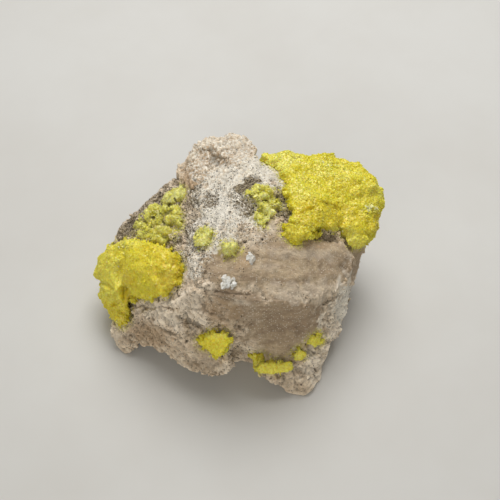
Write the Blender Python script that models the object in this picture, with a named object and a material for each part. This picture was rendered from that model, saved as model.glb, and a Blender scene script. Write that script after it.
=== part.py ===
"""Native sulfur on its matrix: a broken lump of pale stone that carries sugary crusts, nodules and
beads of yellow sulfur and three grains of clear crystal.

Metres, +Z up.  The stone rests on its flat underside on the plane z = 0, its show face turned
towards -Y and up.  X runs along its length.  Corner, outline and feature tables are in millimetres,
and the finished pieces are moved together so that their middle stands on the origin.
"""

import math
import random
from dataclasses import dataclass, field

import bmesh
import bpy
from mathutils import Matrix, Quaternion, Vector, noise
from mathutils.bvhtree import BVHTree
from mathutils.kdtree import KDTree

MM = 0.001

# ---------------------------------------------------------------- the stone
# The lump is a handful of overlapping blocks, each the hull of its corners.
STONE_BLOCKS = {
    "body": [
        (-1.5, -0.5, 35.5), (5, 1.5, 36.5), (-7, -10.5, 34.5), (3, -15, 34), (14, -11.5, 32),
        (-11, -20, 28), (-2, -22, 30.5), (6, -23.5, 28), (14, -23, 25), (22, -16.5, 22),
        (24.5, -5.5, 27), (28.5, -8, 20.5), (-2.5, -25, 20), (7.5, -24.5, 17.5),
        (16.5, -23.5, 16.5), (21, -18, 16.5), (1, -25.5, 12), (10, -25.5, 11), (17, -24, 10.5),
        (0, 16, 31), (-10, 12, 28.5), (14, 12, 30),
        (-18, -14, -2), (-8, -21, -2), (4, -22, -2), (16, -23, -2), (21, -12, -2),
        (19, 8, -2), (8, 16, -2), (-12, 14, -2), (-22, 2, -2),
    ],
    "right_shoulder": [
        (6, 14.5, 30.5), (14, 14.5, 30.2), (23, 15.5, 28.5), (27.5, 13.5, 27.5), (32, 10, 26.5),
        (34, 8, 25.2), (32.5, 4, 22.8), (31.5, 1, 21.3), (30, -2, 20.3), (29, -7, 18.5),
        (27, -10, 16.5), (26.5, -11.5, 12), (24, -5.5, 25.5), (20, -8, 3), (20, 8, 2),
        (12, 15, 8), (27, 9, 9), (29, 3, 10), (26, -6, 8),
    ],
    "left_shelf": [
        (-31, 2, 15.5), (-29.5, 5, 17), (-25, 9, 19.5), (-20, 14, 22), (-14.5, 15.5, 24),
        (-30.5, -9, 8.5), (-31.5, -4, 11), (-30.5, -15, 4.5), (-30, -18.5, 1), (-26.5, -20.5, -1),
        (-23, -20.5, 4), (-22, -18.5, 13), (-17, -17, 19.5), (-27, -10, 14.5), (-21, -4, 20.5),
        (-13, -10.5, 25.5), (-10, -2, 28.5), (-10, 6, 28), (-16, -21, 15.5),
        (-24, -4, -2), (-20, 8, 0), (-26, -16, -2),
    ],
    "front_lobe": [
        (4, -28.5, 4.5), (6.5, -29.5, 3), (10.5, -31.5, 0.5), (16, -31.5, -0.5), (19.5, -26, 0),
        (22, -22.5, 2), (24.5, -17.5, 4), (25, -13, 8.5), (26.5, -11.5, 12), (22, -16.5, 17),
        (17.5, -24, 11), (12, -29, 8), (5, -28, 9), (14, -26, -2), (20, -14, -2), (6, -20, 2),
    ],
    "front_nose": [
        (0.5, -27.5, 7.5), (-2.5, -28.5, 6), (-3.5, -30, 5), (-5.5, -30, 5), (-8.5, -28.5, 6),
        (-14.5, -24.5, 6), (-22.5, -20.5, 4), (-2.5, -25.5, 19), (-9, -24.5, 16.5),
        (-16, -21, 15.5), (-22, -19, 13), (-11, -16, 25), (-19, -13, 18), (-4, -20, 3),
        (-14, -16, 2), (-24, -14, 2),
    ],
    "back_knob": [
        (-14.5, 17.5, 26), (-14.5, 14, 24), (-11, 19.5, 28), (-9.5, 22, 30), (-4, 25.5, 29),
        (1, 24, 30), (5.5, 19, 31), (-9.5, 8.5, 30), (-10.5, 2, 31), (4, 8, 34.5),
        (-8, 18, 6), (3, 20, 6), (-13, 9, 8),
    ],
    "back_ridge": [
        (-8, 19, 4), (0, 22, 9), (8, 20, 14), (18, 16.5, 10), (22, 14, 19), (6, 17, 25),
        (-14, 15, 12), (-4, 12, 0), (14, 12, 1), (0, 4, 12),
    ],
}
STONE_VOXEL = 0.9 * MM
STONE_TRIANGLES = 3350
STONE_RELIEF = [(11.0, 1.1), (5.0, 0.8), (2.4, 0.45)]  # (lump size, height)
# The worn upper front is calmer than the broken faces round it.
CALM_CENTRE = Vector((9, -14, 27)) * MM
CALM_REACH = Vector((21, 15, 15)) * MM
CALM_SHARE = 0.3  # of the relief that is left there

# Lumps (+) and hollows (-) of the show face, by their marks on the show plane:
# (right, up, half length, half width, turn in degrees, height).
STONE_FEATURES = [
    (-8.5, 22, 2.8, 1.5, -20, -1.4), (-14, 19, 1.4, 2.5, 10, -0.8), (-5, 26, 3.5, 1.5, 0, 0.6),
    (-0.7, 15.8, 2.2, 1.5, 20, -1.1), (7.5, 12, 2.4, 2.2, -40, -1.1), (-9.5, 12, 1.8, 1.8, 0, -0.8),
    (-4, 18, 3.0, 1.8, 30, 0.6), (-5, 8, 3.5, 2.0, -10, 0.5), (-14, 10.5, 1.5, 3.5, -5, -0.9),
    (-21.5, 12, 1.8, 1.5, 0, -1.3), (-26, 9.5, 1.6, 1.6, 0, -1.1), (-29, 6, 2.0, 1.4, 40, -1.0),
    (-15.5, 1.2, 1.8, 1.6, 0, -1.0), (-24.5, 3.4, 1.6, 1.0, 0, -0.8),
    (18.5, 3.2, 3.2, 1.5, -10, -1.6), (16, 6.5, 3.0, 1.2, -8, 0.8), (24, 5.5, 3.0, 1.0, 0, 0.5),
    (-29, -12.5, 0.9, 4.0, 8, -1.6), (-24, -12.8, 3.5, 1.2, -8, -0.9),
    (-8, -10, 6.0, 1.2, -5, -0.5), (-6, -1.5, 5.0, 1.0, 0, -0.5), (8, -6, 9.0, 1.6, -4, 0.5),
    (6, -12, 11.0, 1.5, -3, 0.7), (9, -18.5, 8.5, 4.0, 8, -1.6), (20.5, -11.8, 3.0, 0.8, 32, -1.6),
    (18.5, -9.5, 3.5, 1.2, 20, 0.7), (-13, -15.2, 6.5, 1.2, -20, 0.9), (-14, -18, 5.5, 1.2, -22, -1.2),
    (-21, -13.5, 4.0, 1.5, -25, 0.8), (-22, -17.5, 3.5, 1.3, -28, -0.9), (-18, -20.5, 4.5, 1.5, -28, 0.9),
    (-12, -25, 4.5, 1.2, -28, 0.8), (-5.5, -27.5, 2.2, 1.5, 0, 0.8), (-2, -25.5, 2.0, 1.2, -40, -0.9),
    (-33, -19.5, 2.0, 2.5, 20, 0.8), (-29, -21.5, 2.5, 1.2, 20, -0.9),
    (5.5, -25.8, 6.0, 1.0, -12, -1.0), (5, -31, 5.0, 1.2, -15, 0.7), (15, -26, 2.6, 2.6, 30, 0.8),
    (18.5, -20, 1.6, 5.0, -25, 0.9), (13, -29.5, 3.0, 1.0, -20, -1.0), (16.5, -23.8, 2.4, 1.0, 40, -0.8),
    (20.5, -17, 1.2, 4.0, -20, -0.7), (13.5, -33, 2.5, 1.2, 10, 0.7),
]
FEATURE_FALL = 2.2  # how sharply a feature ends at its edge

# ---------------------------------------------------------------- the show face
# The show face is looked at from SHOW_DISTANCE away along a line that slopes down at SHOW_TILT
# through SHOW_CENTRE.  Marks are set out on the plane square to that line at SHOW_CENTRE, as
# (right, up), and fall on the stone along the lines of sight.
SHOW_CENTRE = Vector((3, 0, 15)) * MM
SHOW_TILT = math.radians(55)
SHOW_DISTANCE = 200 * MM
SHOW_RIGHT = Vector((1, 0, 0))
SHOW_UP = Vector((0, math.sin(SHOW_TILT), math.cos(SHOW_TILT)))
SIGHT = Vector((0, math.cos(SHOW_TILT), -math.sin(SHOW_TILT)))
SHOW_POINT = SHOW_CENTRE - SHOW_DISTANCE * SIGHT

# ---------------------------------------------------------------- the sulfur
GAP = 0.3 * MM  # clear space between a crust and what it sits on
BED_SPACING = 1.15  # between the marks that a crust's bed is built on
BED_VOXEL = 0.55 * MM
BED_EDGE = 0.9  # height of a bed at its edge
BED_SLOPE = 0.8  # height that it gains for each millimetre in from the edge
CRYSTAL_SUNK = (0.0, 0.15)  # share of its length that a crystal's middle lies under the bed
CRYSTAL_LEAN = 38.0  # degrees off the surface's normal
TRIES = 3000  # marks tried when an outline is filled with crystals
RIM_FACING = -0.1  # past this, a surface turns away from the line of sight
WRAP_WAVE = 0.6  # share by which the edge of a crust waves on the far side


@dataclass
class Crust:
    """A patch of sulfur: a bed that follows the stone inside an outline, set with crystals."""

    name: str
    outline: list  # (right, up) corners on the show plane
    height: float  # of its bed over the stone
    crystal: float  # length of its crystals
    spacing: float  # between neighbouring crystals
    bed_triangles: int
    triangles: int  # of the bed with its crystals, before it is fitted to the stone
    colour: tuple
    mounds: list = field(default_factory=list)  # (right, up, reach, extra height)
    wrap: float = 0.0  # how far it runs on over the rim of the stone
    wrap_right_of: float = -99.0  # the X past which it does so
    clear_of: tuple = ()  # neighbouring crusts that it keeps its gap to


LEMON = (0.70, 0.62, 0.045, 1)
GOLDEN = (0.70, 0.55, 0.035, 1)
GREENISH = (0.60, 0.58, 0.10, 1)
CRUSTS = [
    Crust(
        "sulfur_crust_right",
        [
            (2, 23.5), (7.5, 23.5), (15.5, 22.5), (20.5, 23), (24.5, 20.5), (30, 17.5), (33, 15),
            (31.5, 12), (31.5, 9), (31, 6), (29.5, 3.5), (26.5, 0.5), (23, 1), (22, 5),
            (16, 5.5), (15.5, 3), (10, 2), (8, 4.5), (8.5, 6.5), (10.5, 9), (9, 13), (9, 16),
            (7.5, 19), (5, 20.5), (2, 21.5),
        ],
        height=1.9, crystal=3.8, spacing=3.0, bed_triangles=480, triangles=2500, colour=LEMON, wrap=5.0,
        wrap_right_of=8.0,
        mounds=[
            (13, 18, 4, 0.8), (21, 17, 5, 0.7), (28, 14, 3, 0.6), (17, 10, 4, 0.9),
            (12.5, 5, 3, 1.2), (25, 7, 3, 0.9),
        ],
    ),
    Crust(
        "sulfur_crust_left",
        [
            (-38.5, -5.5), (-38, -3), (-36, -1.5), (-32, 1.5), (-29, 2.5), (-26, 2), (-23, 1),
            (-20, 0.5), (-18, -1), (-16.5, -4.5), (-17, -7), (-18, -9), (-21.5, -10.5),
            (-23, -12), (-27, -11.5), (-29, -10.5), (-29, -13), (-29.5, -18), (-31, -18),
            (-35, -15), (-37, -10.5),
        ],
        height=2.0, crystal=3.3, spacing=2.7, bed_triangles=300, triangles=1300, colour=GOLDEN, wrap=3.0,
        mounds=[
            (-21.5, -4.5, 4, 2.6), (-27, -3, 3, 1.6), (-25, -8, 3, 1.5), (-35, -4.5, 2.5, 1.0),
            (-33.5, -11, 2.5, 1.2),
        ],
    ),
    Crust(
        "sulfur_cluster_upper_left",
        [
            (-28.5, 4.5), (-26, 8.5), (-23.5, 10.5), (-18, 10.5), (-16.5, 9.5), (-16.5, 5.5),
            (-18, 3.5), (-20, 3), (-20.5, 1.5), (-22.5, 1.5), (-23.5, 3.5), (-27, 4),
        ],
        height=0.9, crystal=2.2, spacing=1.9, bed_triangles=100, triangles=270, colour=GREENISH,
        mounds=[(-18.5, 7, 1.8, 1.3), (-21.5, 5, 1.6, 0.7)],
        clear_of=("sulfur_crust_left",),
    ),
    Crust(
        "sulfur_cap_upper_left",
        [
            (-20.5, 12.5), (-18.5, 14.5), (-17, 15.5), (-15.5, 14.5), (-15, 12.5), (-18, 12),
            (-19, 11), (-20.5, 11.5),
        ],
        height=1.0, crystal=2.0, spacing=1.6, bed_triangles=50, triangles=130, colour=GREENISH,
        clear_of=("sulfur_cluster_upper_left",),
    ),
    Crust(
        "sulfur_cluster_centre",
        [
            (-1.5, 14), (0, 15), (2.5, 15.5), (6, 14), (5.5, 12.5), (6.5, 12.5), (7, 10.5),
            (5, 8), (3, 6.5), (1.5, 7), (0.5, 8.5), (2.5, 11), (1, 12),
        ],
        height=0.9, crystal=2.2, spacing=1.8, bed_triangles=80, triangles=240, colour=GREENISH,
        mounds=[(4.5, 10.5, 1.6, 1.0)],
        clear_of=("sulfur_crust_right",),
    ),
    Crust(
        "sulfur_bead_upper",
        [(-13, 4.5), (-11.5, 5.5), (-10, 5), (-9.5, 3), (-11, 1), (-12.5, 0.5), (-13.5, 1.5)],
        height=1.3, crystal=1.9, spacing=1.5, bed_triangles=50, triangles=130, colour=GREENISH,
    ),
    Crust(
        "sulfur_bead_lower",
        [(-6.5, 0.5), (-5.5, 2), (-3, 2), (-3, 0.5), (-5, -1.5), (-6.5, -0.5)],
        height=1.3, crystal=1.9, spacing=1.5, bed_triangles=50, triangles=110, colour=GREENISH,
    ),
    Crust(
        "sulfur_wedge_front",
        [
            (-12.5, -22.5), (-11.5, -21), (-9, -20), (-6.5, -20), (-4, -21), (-4, -22.5),
            (-7, -25.5), (-8.5, -26), (-10, -24.5),
        ],
        height=1.9, crystal=2.2, spacing=1.7, bed_triangles=70, triangles=230, colour=LEMON,
    ),
    Crust(
        "sulfur_strip_front",
        [
            (-0.5, -25), (1.5, -25), (3.5, -26.5), (6, -27.5), (10, -27), (10, -28.5),
            (8.5, -30), (2.5, -30), (0.5, -29),
        ],
        height=1.4, crystal=2.1, spacing=1.7, bed_triangles=70, triangles=240, colour=LEMON,
    ),
    Crust(
        "sulfur_spot_front",
        [(10, -25.5), (11.5, -23.5), (13, -24), (13.5, -25.5), (12.5, -26.5), (10.5, -26.5)],
        height=1.0, crystal=1.8, spacing=1.5, bed_triangles=40, triangles=90, colour=LEMON,
        clear_of=("sulfur_strip_front",),
    ),
    Crust(
        "sulfur_spot_right",
        [(14, -21.5), (15, -20), (16.5, -20.5), (17.5, -21.5), (16.5, -22.5), (15, -23.5)],
        height=1.0, crystal=1.8, spacing=1.5, bed_triangles=40, triangles=90, colour=LEMON,
    ),
]

# Single clear crystals: name, (right, up) on the show plane, length and width.
CLEAR_CRYSTALS = [
    ("clear_crystal_upper", (0, -1.8), 3.2, 2.2),
    ("clear_crystal_lower", (-5.8, -7.7), 2.9, 1.9),
    ("clear_crystal_small", (-3.4, -7.9), 1.8, 1.4),
]


# ---------------------------------------------------------------- helpers
def clear_scene():
    for obj in list(bpy.data.objects):
        bpy.data.objects.remove(obj)


def new_object(name, mesh):
    obj = bpy.data.objects.new(name, mesh)
    bpy.context.scene.collection.objects.link(obj)
    return obj


def object_from(bm, name):
    """A new object that holds this bmesh, its faces turned outwards."""
    bmesh.ops.recalc_face_normals(bm, faces=bm.faces)
    mesh = bpy.data.meshes.new(name)
    bm.to_mesh(mesh)
    bm.free()
    return new_object(name, mesh)


def hull_object(name, corners):
    """The convex hull of some corners."""
    bm = bmesh.new()
    for corner in corners:
        bm.verts.new(corner)
    hull = bmesh.ops.convex_hull(bm, input=bm.verts)
    spare = [item for item in hull["geom_interior"] if isinstance(item, bmesh.types.BMVert)]
    bmesh.ops.delete(bm, geom=spare, context="VERTS")
    return object_from(bm, name)


def join(objects, name):
    """One object with all the meshes, still crossing each other."""
    bm = bmesh.new()
    for obj in objects:
        bm.from_mesh(obj.data)
        bpy.data.objects.remove(obj)
    mesh = bpy.data.meshes.new(name)
    bm.to_mesh(mesh)
    bm.free()
    return new_object(name, mesh)


def apply_modifiers(obj):
    depsgraph = bpy.context.evaluated_depsgraph_get()
    mesh = bpy.data.meshes.new_from_object(obj.evaluated_get(depsgraph))
    obj.modifiers.clear()
    obj.data = mesh
    mesh.name = obj.name
    return obj


def remesh(obj, voxel):
    """The outer skin of all that the mesh holds, in even faces."""
    modifier = obj.modifiers.new("skin", "REMESH")
    modifier.mode = "VOXEL"
    modifier.voxel_size = voxel
    return apply_modifiers(obj)


def smooth(obj, rounds, factor):
    modifier = obj.modifiers.new("wear", "SMOOTH")
    modifier.iterations = rounds
    modifier.factor = factor
    return apply_modifiers(obj)


def decimate(obj, triangles):
    have = sum(len(polygon.vertices) - 2 for polygon in obj.data.polygons)
    if have <= triangles:
        return obj
    modifier = obj.modifiers.new("fewer", "DECIMATE")
    modifier.ratio = triangles / have
    modifier.use_collapse_triangulate = True
    return apply_modifiers(obj)


def grown(obj, by):
    """A cutter that stands out from the object by this much."""
    mesh = obj.data.copy()
    places = [vertex.co + vertex.normal * by for vertex in mesh.vertices]
    for vertex, place in zip(mesh.vertices, places):
        vertex.co = place
    cutter = new_object(obj.name + "_room", mesh)
    cutter.hide_render = True
    cutter.display_type = "WIRE"
    return cutter


def combine(obj, other, operation):
    modifier = obj.modifiers.new("combine", "BOOLEAN")
    modifier.operation = operation
    modifier.object = other
    modifier.use_self = True
    return apply_modifiers(obj)


def keep_largest(obj):
    """Drops every body of the mesh but the one with the most faces."""
    bm = bmesh.new()
    bm.from_mesh(obj.data)
    left = set(bm.faces)
    bodies = []
    while left:
        body, edge = [], [left.pop()]
        while edge:
            face = edge.pop()
            body.append(face)
            beside = {other for line in face.edges for other in line.link_faces} & left
            left -= beside
            edge.extend(beside)
        bodies.append(body)
    bodies.sort(key=len)
    spare = [face for body in bodies[:-1] for face in body]
    bmesh.ops.delete(bm, geom=spare, context="FACES")
    bm.to_mesh(obj.data)
    bm.free()
    return obj


def tree_of(obj):
    bm = bmesh.new()
    bm.from_mesh(obj.data)
    tree = BVHTree.FromBMesh(bm)
    bm.free()
    return tree


def dress(obj, colour, roughness):
    """Its own Principled material: no metal, this colour and roughness."""
    material = bpy.data.materials.new(obj.name)
    material.use_nodes = True
    shader = material.node_tree.nodes["Principled BSDF"]
    shader.inputs["Base Color"].default_value = colour
    shader.inputs["Roughness"].default_value = roughness
    shader.inputs["Metallic"].default_value = 0
    material.diffuse_color = colour
    obj.data.materials.clear()
    obj.data.materials.append(material)


# ---------------------------------------------------------------- marks on the show face
def mark_of(point):
    """The mark on the show plane that a point is seen at, in millimetres."""
    sight = point - SHOW_POINT
    seen = sight * (SHOW_DISTANCE / sight.dot(SIGHT))
    return seen.dot(SHOW_RIGHT) / MM, seen.dot(SHOW_UP) / MM


def sight_to(right, up):
    """The line of sight through a mark."""
    mark = SHOW_CENTRE + (right * SHOW_RIGHT + up * SHOW_UP) * MM
    return (mark - SHOW_POINT).normalized()


def fall_on(tree, right, up):
    """Where a mark falls on a surface, or the place on its rim that the sight passes nearest to."""
    direction = sight_to(right, up)
    point, normal, _, _ = tree.ray_cast(SHOW_POINT, direction)
    if point is None:
        tries = [SHOW_POINT + direction * (SHOW_DISTANCE + step * MM) for step in range(-40, 41, 2)]
        point, normal, _, _ = min((tree.find_nearest(place) for place in tries), key=lambda f: f[3])
    return point, normal


def inside(outline, right, up):
    """Whether a mark lies in the outline, by the sides that a line to its right crosses."""
    within = False
    for (ax, ay), (bx, by) in zip(outline, outline[1:] + outline[:1]):
        if (ay > up) != (by > up) and right < ax + (bx - ax) * (up - ay) / (by - ay):
            within = not within
    return within


def edge_distance(outline, right, up):
    """How far a mark is from the outline's nearest side."""
    mark = Vector((right, up))
    nearest = math.inf
    for start, end in zip(outline, outline[1:] + outline[:1]):
        start, side = Vector(start), Vector(end) - Vector(start)
        share = max(0, min(1, (mark - start).dot(side) / side.length_squared))
        nearest = min(nearest, (mark - start - side * share).length)
    return nearest


def span(outline):
    """The outline's least and greatest right and up."""
    rights = [corner[0] for corner in outline]
    ups = [corner[1] for corner in outline]
    return min(rights), max(rights), min(ups), max(ups)


def even_marks(outline, spacing):
    """Marks in staggered rows that fill the outline."""
    left, right_end, low, high = span(outline)
    rows = int((high - low) / (spacing * 0.87)) + 1
    columns = int((right_end - left) / spacing) + 2
    for row in range(rows):
        up = low + (row + 0.5) * spacing * 0.87
        for column in range(columns):
            right = left + (column + 0.5 * (row % 2)) * spacing
            if inside(outline, right, up):
                yield right, up


def scattered_marks(outline, spacing, pick):
    """Marks in the outline, none closer together than the spacing."""
    left, right_end, low, high = span(outline)
    marks = []
    for _ in range(TRIES):
        right = pick.uniform(left, right_end)
        up = pick.uniform(low, high)
        near = any(math.hypot(right - r, up - u) < spacing for r, u in marks)
        if not near and inside(outline, right, up):
            marks.append((right, up))
    return marks


# ---------------------------------------------------------------- the stone
def feature_height(right, up):
    """The rise of all the lumps and hollows at a mark."""
    rise = 0.0
    for at_right, at_up, half_length, half_width, turn, height in STONE_FEATURES:
        turned = math.radians(turn)
        x, y = right - at_right, up - at_up
        along = (x * math.cos(turned) + y * math.sin(turned)) / half_length
        across = (y * math.cos(turned) - x * math.sin(turned)) / half_width
        rise += height * math.exp(-(math.hypot(along, across) ** FEATURE_FALL))
    return rise


def roughen(obj):
    """Moves the surface in and out by noise, lumps and hollows."""
    moves = []
    for vertex in obj.data.vertices:
        place, normal = vertex.co, vertex.normal
        rise = 0.0
        for layer, (size, height) in enumerate(STONE_RELIEF):
            rise += height * noise.noise(place / (size * MM) + Vector((4 + 7 * layer, 0, 0)))
        away = Vector((place - CALM_CENTRE)[i] / CALM_REACH[i] for i in range(3)).length
        rise *= CALM_SHARE + (1 - CALM_SHARE) * min(1, away**4)
        facing = max(0.0, -normal.dot(SIGHT))
        rise += feature_height(*mark_of(place)) * min(1, 2 * facing)
        moves.append(place + normal * rise * MM)
    for vertex, place in zip(obj.data.vertices, moves):
        vertex.co = place
    return obj


def cut_flat(obj):
    """Takes off all that is below the plane it rests on."""
    block = bmesh.new()
    bmesh.ops.create_cube(block, size=0.2)
    bmesh.ops.translate(block, verts=block.verts, vec=(0, 0, -0.1))
    cutter = object_from(block, "below")
    combine(obj, cutter, "DIFFERENCE")
    bpy.data.objects.remove(cutter)
    return obj


def make_stone():
    blocks = []
    for name, corners in STONE_BLOCKS.items():
        blocks.append(hull_object(name, [Vector(corner) * MM for corner in corners]))
    stone = join(blocks, "matrix")
    remesh(stone, STONE_VOXEL)
    smooth(stone, 3, 0.5)
    roughen(stone)
    decimate(stone, STONE_TRIANGLES)
    cut_flat(stone)
    keep_largest(stone)
    dress(stone, (0.52, 0.47, 0.41, 1), 0.9)
    return stone


# ---------------------------------------------------------------- the sulfur
def bed_height(crust, right, up):
    """How thick the bed is at a mark."""
    edge = edge_distance(crust.outline, right, up)
    height = min(crust.height, BED_EDGE + BED_SLOPE * edge)
    for at_right, at_up, reach, extra in crust.mounds:
        away = math.hypot(right - at_right, up - at_up) / reach
        height += extra * math.exp(-away * away)
    return height


def far_side_places(stone, near):
    """Places on the stone turned away from the front, each with its distance to the near places."""
    rim = KDTree(len(near))
    for index, (point, _) in enumerate(near):
        rim.insert(point, index)
    rim.balance()
    spots = [(vertex.co, vertex.normal) for vertex in stone.data.vertices]
    spots += [(polygon.center, polygon.normal) for polygon in stone.data.polygons]
    for spot, normal in spots:
        if normal.dot(SIGHT) > RIM_FACING:
            _, _, away = rim.find(spot)
            yield spot.copy(), normal.copy(), away / MM


def blob(place, normal, height):
    """A ball whose top stands this high over a place."""
    radius = max(1.0, height * 0.65) * MM
    bm = bmesh.new()
    bmesh.ops.create_icosphere(bm, subdivisions=2, radius=radius)
    bmesh.ops.translate(bm, verts=bm.verts, vec=place + normal * (height * MM - radius))
    return object_from(bm, "blob")


def make_bed(crust, stone, stone_tree):
    balls, near = [], []
    for right, up in even_marks(crust.outline, BED_SPACING):
        point, normal = fall_on(stone_tree, right, up)
        balls.append(blob(point, normal, bed_height(crust, right, up)))
        near.append((point, normal))
    if crust.wrap:
        for spot, normal, away in far_side_places(stone, near):
            reach = crust.wrap * (1 + WRAP_WAVE * noise.noise(spot / (7 * MM)))
            if away < reach and spot.x > crust.wrap_right_of * MM:
                balls.append(blob(spot, normal, BED_EDGE + crust.height * (1 - away / reach)))
    bed = join(balls, crust.name)
    remesh(bed, BED_VOXEL)
    smooth(bed, 2, 0.5)
    decimate(bed, crust.bed_triangles)
    return bed


def leaning(normal, pick):
    """A direction up to CRYSTAL_LEAN off the normal."""
    across = normal.orthogonal().normalized()
    across.rotate(Quaternion(normal, pick.uniform(0, 2 * math.pi)))
    lean = normal.copy()
    lean.rotate(Quaternion(across, math.radians(pick.uniform(0, CRYSTAL_LEAN))))
    return lean


def crystal_object(place, axis, length, width, turn, flat=0.45):
    """A stout dipyramid whose tip is cut flat."""
    corners = [Vector((0, 0, -length / 2))]
    for side in range(4):
        angle = turn + side * math.pi / 2
        reach = Vector((math.cos(angle), math.sin(angle), 0)) * width / 2
        corners.append(reach)
        corners.append(reach * flat + Vector((0, 0, length / 2 * (1 - flat))))
    aim = axis.to_track_quat("Z", "Y")
    return hull_object("crystal", [place + aim @ corner for corner in corners])


def crystal_places(crust, bed, bed_tree, pick):
    """(point, normal) of each crystal on the bed: on the show face, then on the far side."""
    places = []
    for right, up in scattered_marks(crust.outline, crust.spacing, pick):
        places.append(fall_on(bed_tree, right, up))
    if crust.wrap:
        spots = [(vertex.co.copy(), vertex.normal.copy()) for vertex in bed.data.vertices]
        pick.shuffle(spots)
        for spot, normal in spots:
            clear = min((spot - point).length for point, _ in places) > crust.spacing * MM
            if clear and normal.dot(SIGHT) > RIM_FACING:
                places.append((spot, normal))
    return places


def make_crust(crust, stone, stone_tree, stone_room, made):
    pick = random.Random(crust.name)
    bed = make_bed(crust, stone, stone_tree)
    bed_tree = tree_of(bed)
    crystals = []
    for point, normal in crystal_places(crust, bed, bed_tree, pick):
        length = crust.crystal * pick.uniform(0.8, 1.25) * MM
        sunk = normal * length * pick.uniform(*CRYSTAL_SUNK)
        turn = pick.uniform(0, math.pi)
        axis = leaning(normal, pick)
        crystals.append(crystal_object(point - sunk, axis, length, length * 0.85, turn))
    crystals = join(crystals, "crystals")
    combine(bed, crystals, "UNION")
    bpy.data.objects.remove(crystals)
    decimate(bed, crust.triangles)
    combine(bed, stone_room, "DIFFERENCE")
    for name in crust.clear_of:
        cutter = grown(made[name], GAP)
        combine(bed, cutter, "DIFFERENCE")
        bpy.data.objects.remove(cutter)
    keep_largest(bed)
    dress(bed, crust.colour, 0.3)
    return bed


def make_clear_crystal(name, mark, length, width, stone_tree, stone_room):
    point, normal = fall_on(stone_tree, *mark)
    axis = (normal + SHOW_UP).normalized()
    place = point + normal * width * 0.2 * MM
    crystal = crystal_object(place, axis, length * MM, width * MM, 0.4)
    crystal.name = name
    combine(crystal, stone_room, "DIFFERENCE")
    keep_largest(crystal)
    dress(crystal, (0.9, 0.91, 0.9, 1), 0.08)
    return crystal


def stand_on_origin(objects):
    """Moves all the pieces together so that the middle of their box stands on the origin."""
    corners = [vertex.co for obj in objects for vertex in obj.data.vertices]
    middle = Vector(
        (min(corner[i] for corner in corners) + max(corner[i] for corner in corners)) / 2
        for i in range(2)
    )
    for obj in objects:
        obj.data.transform(Matrix.Translation((-middle.x, -middle.y, 0)))


def main():
    clear_scene()
    stone = make_stone()
    stone_tree = tree_of(stone)
    stone_room = grown(stone, GAP)
    made = {}
    for crust in CRUSTS:
        made[crust.name] = make_crust(crust, stone, stone_tree, stone_room, made)
    for name, mark, length, width in CLEAR_CRYSTALS:
        make_clear_crystal(name, mark, length, width, stone_tree, stone_room)
    bpy.data.objects.remove(stone_room)
    stand_on_origin(list(bpy.data.objects))


main()
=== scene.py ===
"""The finish of a lump of pale stone that carries native sulfur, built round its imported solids.

The stone gets a worn and crumbly skin, each crust of sulfur a bed with thousands of small crystals,
and the clear crystals their glass.  Metres, +Z up; tables of marks and sizes are in millimetres.
"""

from __future__ import annotations

import logging
import math
from collections.abc import Callable, Mapping, Sequence
from dataclasses import dataclass, field
from enum import Enum

import bpy
import numpy as np
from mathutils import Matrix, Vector, noise
from mathutils.bvhtree import BVHTree


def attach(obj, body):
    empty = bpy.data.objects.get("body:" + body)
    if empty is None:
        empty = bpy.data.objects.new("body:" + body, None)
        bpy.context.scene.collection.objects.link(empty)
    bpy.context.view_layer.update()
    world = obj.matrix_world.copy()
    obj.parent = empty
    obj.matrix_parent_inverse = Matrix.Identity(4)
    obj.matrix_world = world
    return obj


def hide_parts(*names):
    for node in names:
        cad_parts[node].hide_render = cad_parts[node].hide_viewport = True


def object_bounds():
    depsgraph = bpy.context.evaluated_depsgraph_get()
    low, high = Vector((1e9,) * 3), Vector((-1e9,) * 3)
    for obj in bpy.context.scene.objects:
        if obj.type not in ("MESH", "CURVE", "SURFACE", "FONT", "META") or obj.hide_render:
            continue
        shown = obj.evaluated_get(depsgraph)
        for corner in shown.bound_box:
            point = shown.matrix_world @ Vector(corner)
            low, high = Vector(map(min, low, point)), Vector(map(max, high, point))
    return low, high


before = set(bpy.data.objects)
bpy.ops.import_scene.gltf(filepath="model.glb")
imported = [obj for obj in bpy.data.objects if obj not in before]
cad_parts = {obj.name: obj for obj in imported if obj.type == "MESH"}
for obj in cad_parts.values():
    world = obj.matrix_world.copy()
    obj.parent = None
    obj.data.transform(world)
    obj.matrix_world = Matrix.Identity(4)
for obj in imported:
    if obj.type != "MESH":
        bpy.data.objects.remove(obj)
CAD_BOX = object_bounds()

LOG = logging.getLogger("sulfur")
MM = 0.001
BODY = "root"
BOX_MARGIN = 0.02 * MM  # how far inside the box of the solids every piece is kept
MERGED = 0.001 * MM  # corners that lie nearer than this are one
PATCH_EDGE = (1.2, 0.75)  # where a soft patch ends and where it is at its full strength, in its radii
CHANCE_AXIS, CHANCE_STEP = np.array((12.9898, 78.233, 37.719)), 43758.5453  # make chance of a place
HOLLOW_ROUNDS, HOLLOW_GAIN = 14, 1.6  # how far round a vertex is looked, and how strongly it counts

Array = np.ndarray
Chance = np.random.Generator
Object = bpy.types.Object
Socket = bpy.types.NodeSocket
Colour = tuple[float, ...]
Pair = tuple[float, float]
Puffs = tuple[float, float, float]  # their width in millimetres, and the noise where they begin and end
Patch = tuple[float, ...]  # right, up, half length, half width, turn, strength
Patches = tuple[Patch, ...]
Outline = Sequence[Pair]  # right, up of each corner


def tint(red: int, green: int, blue: int) -> Colour:
    """A colour as it looks on a screen, 0 to 255, made linear.

    Args:
        red: Its red.
        green: Its green.
        blue: Its blue.

    Returns:
        The linear colour with full opacity.
    """
    parts = [part / 255 for part in (red, green, blue)]
    linear = [p / 12.92 if p <= 0.04045 else ((p + 0.055) / 1.055) ** 2.4 for p in parts]
    return (*linear, 1.0)


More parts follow.
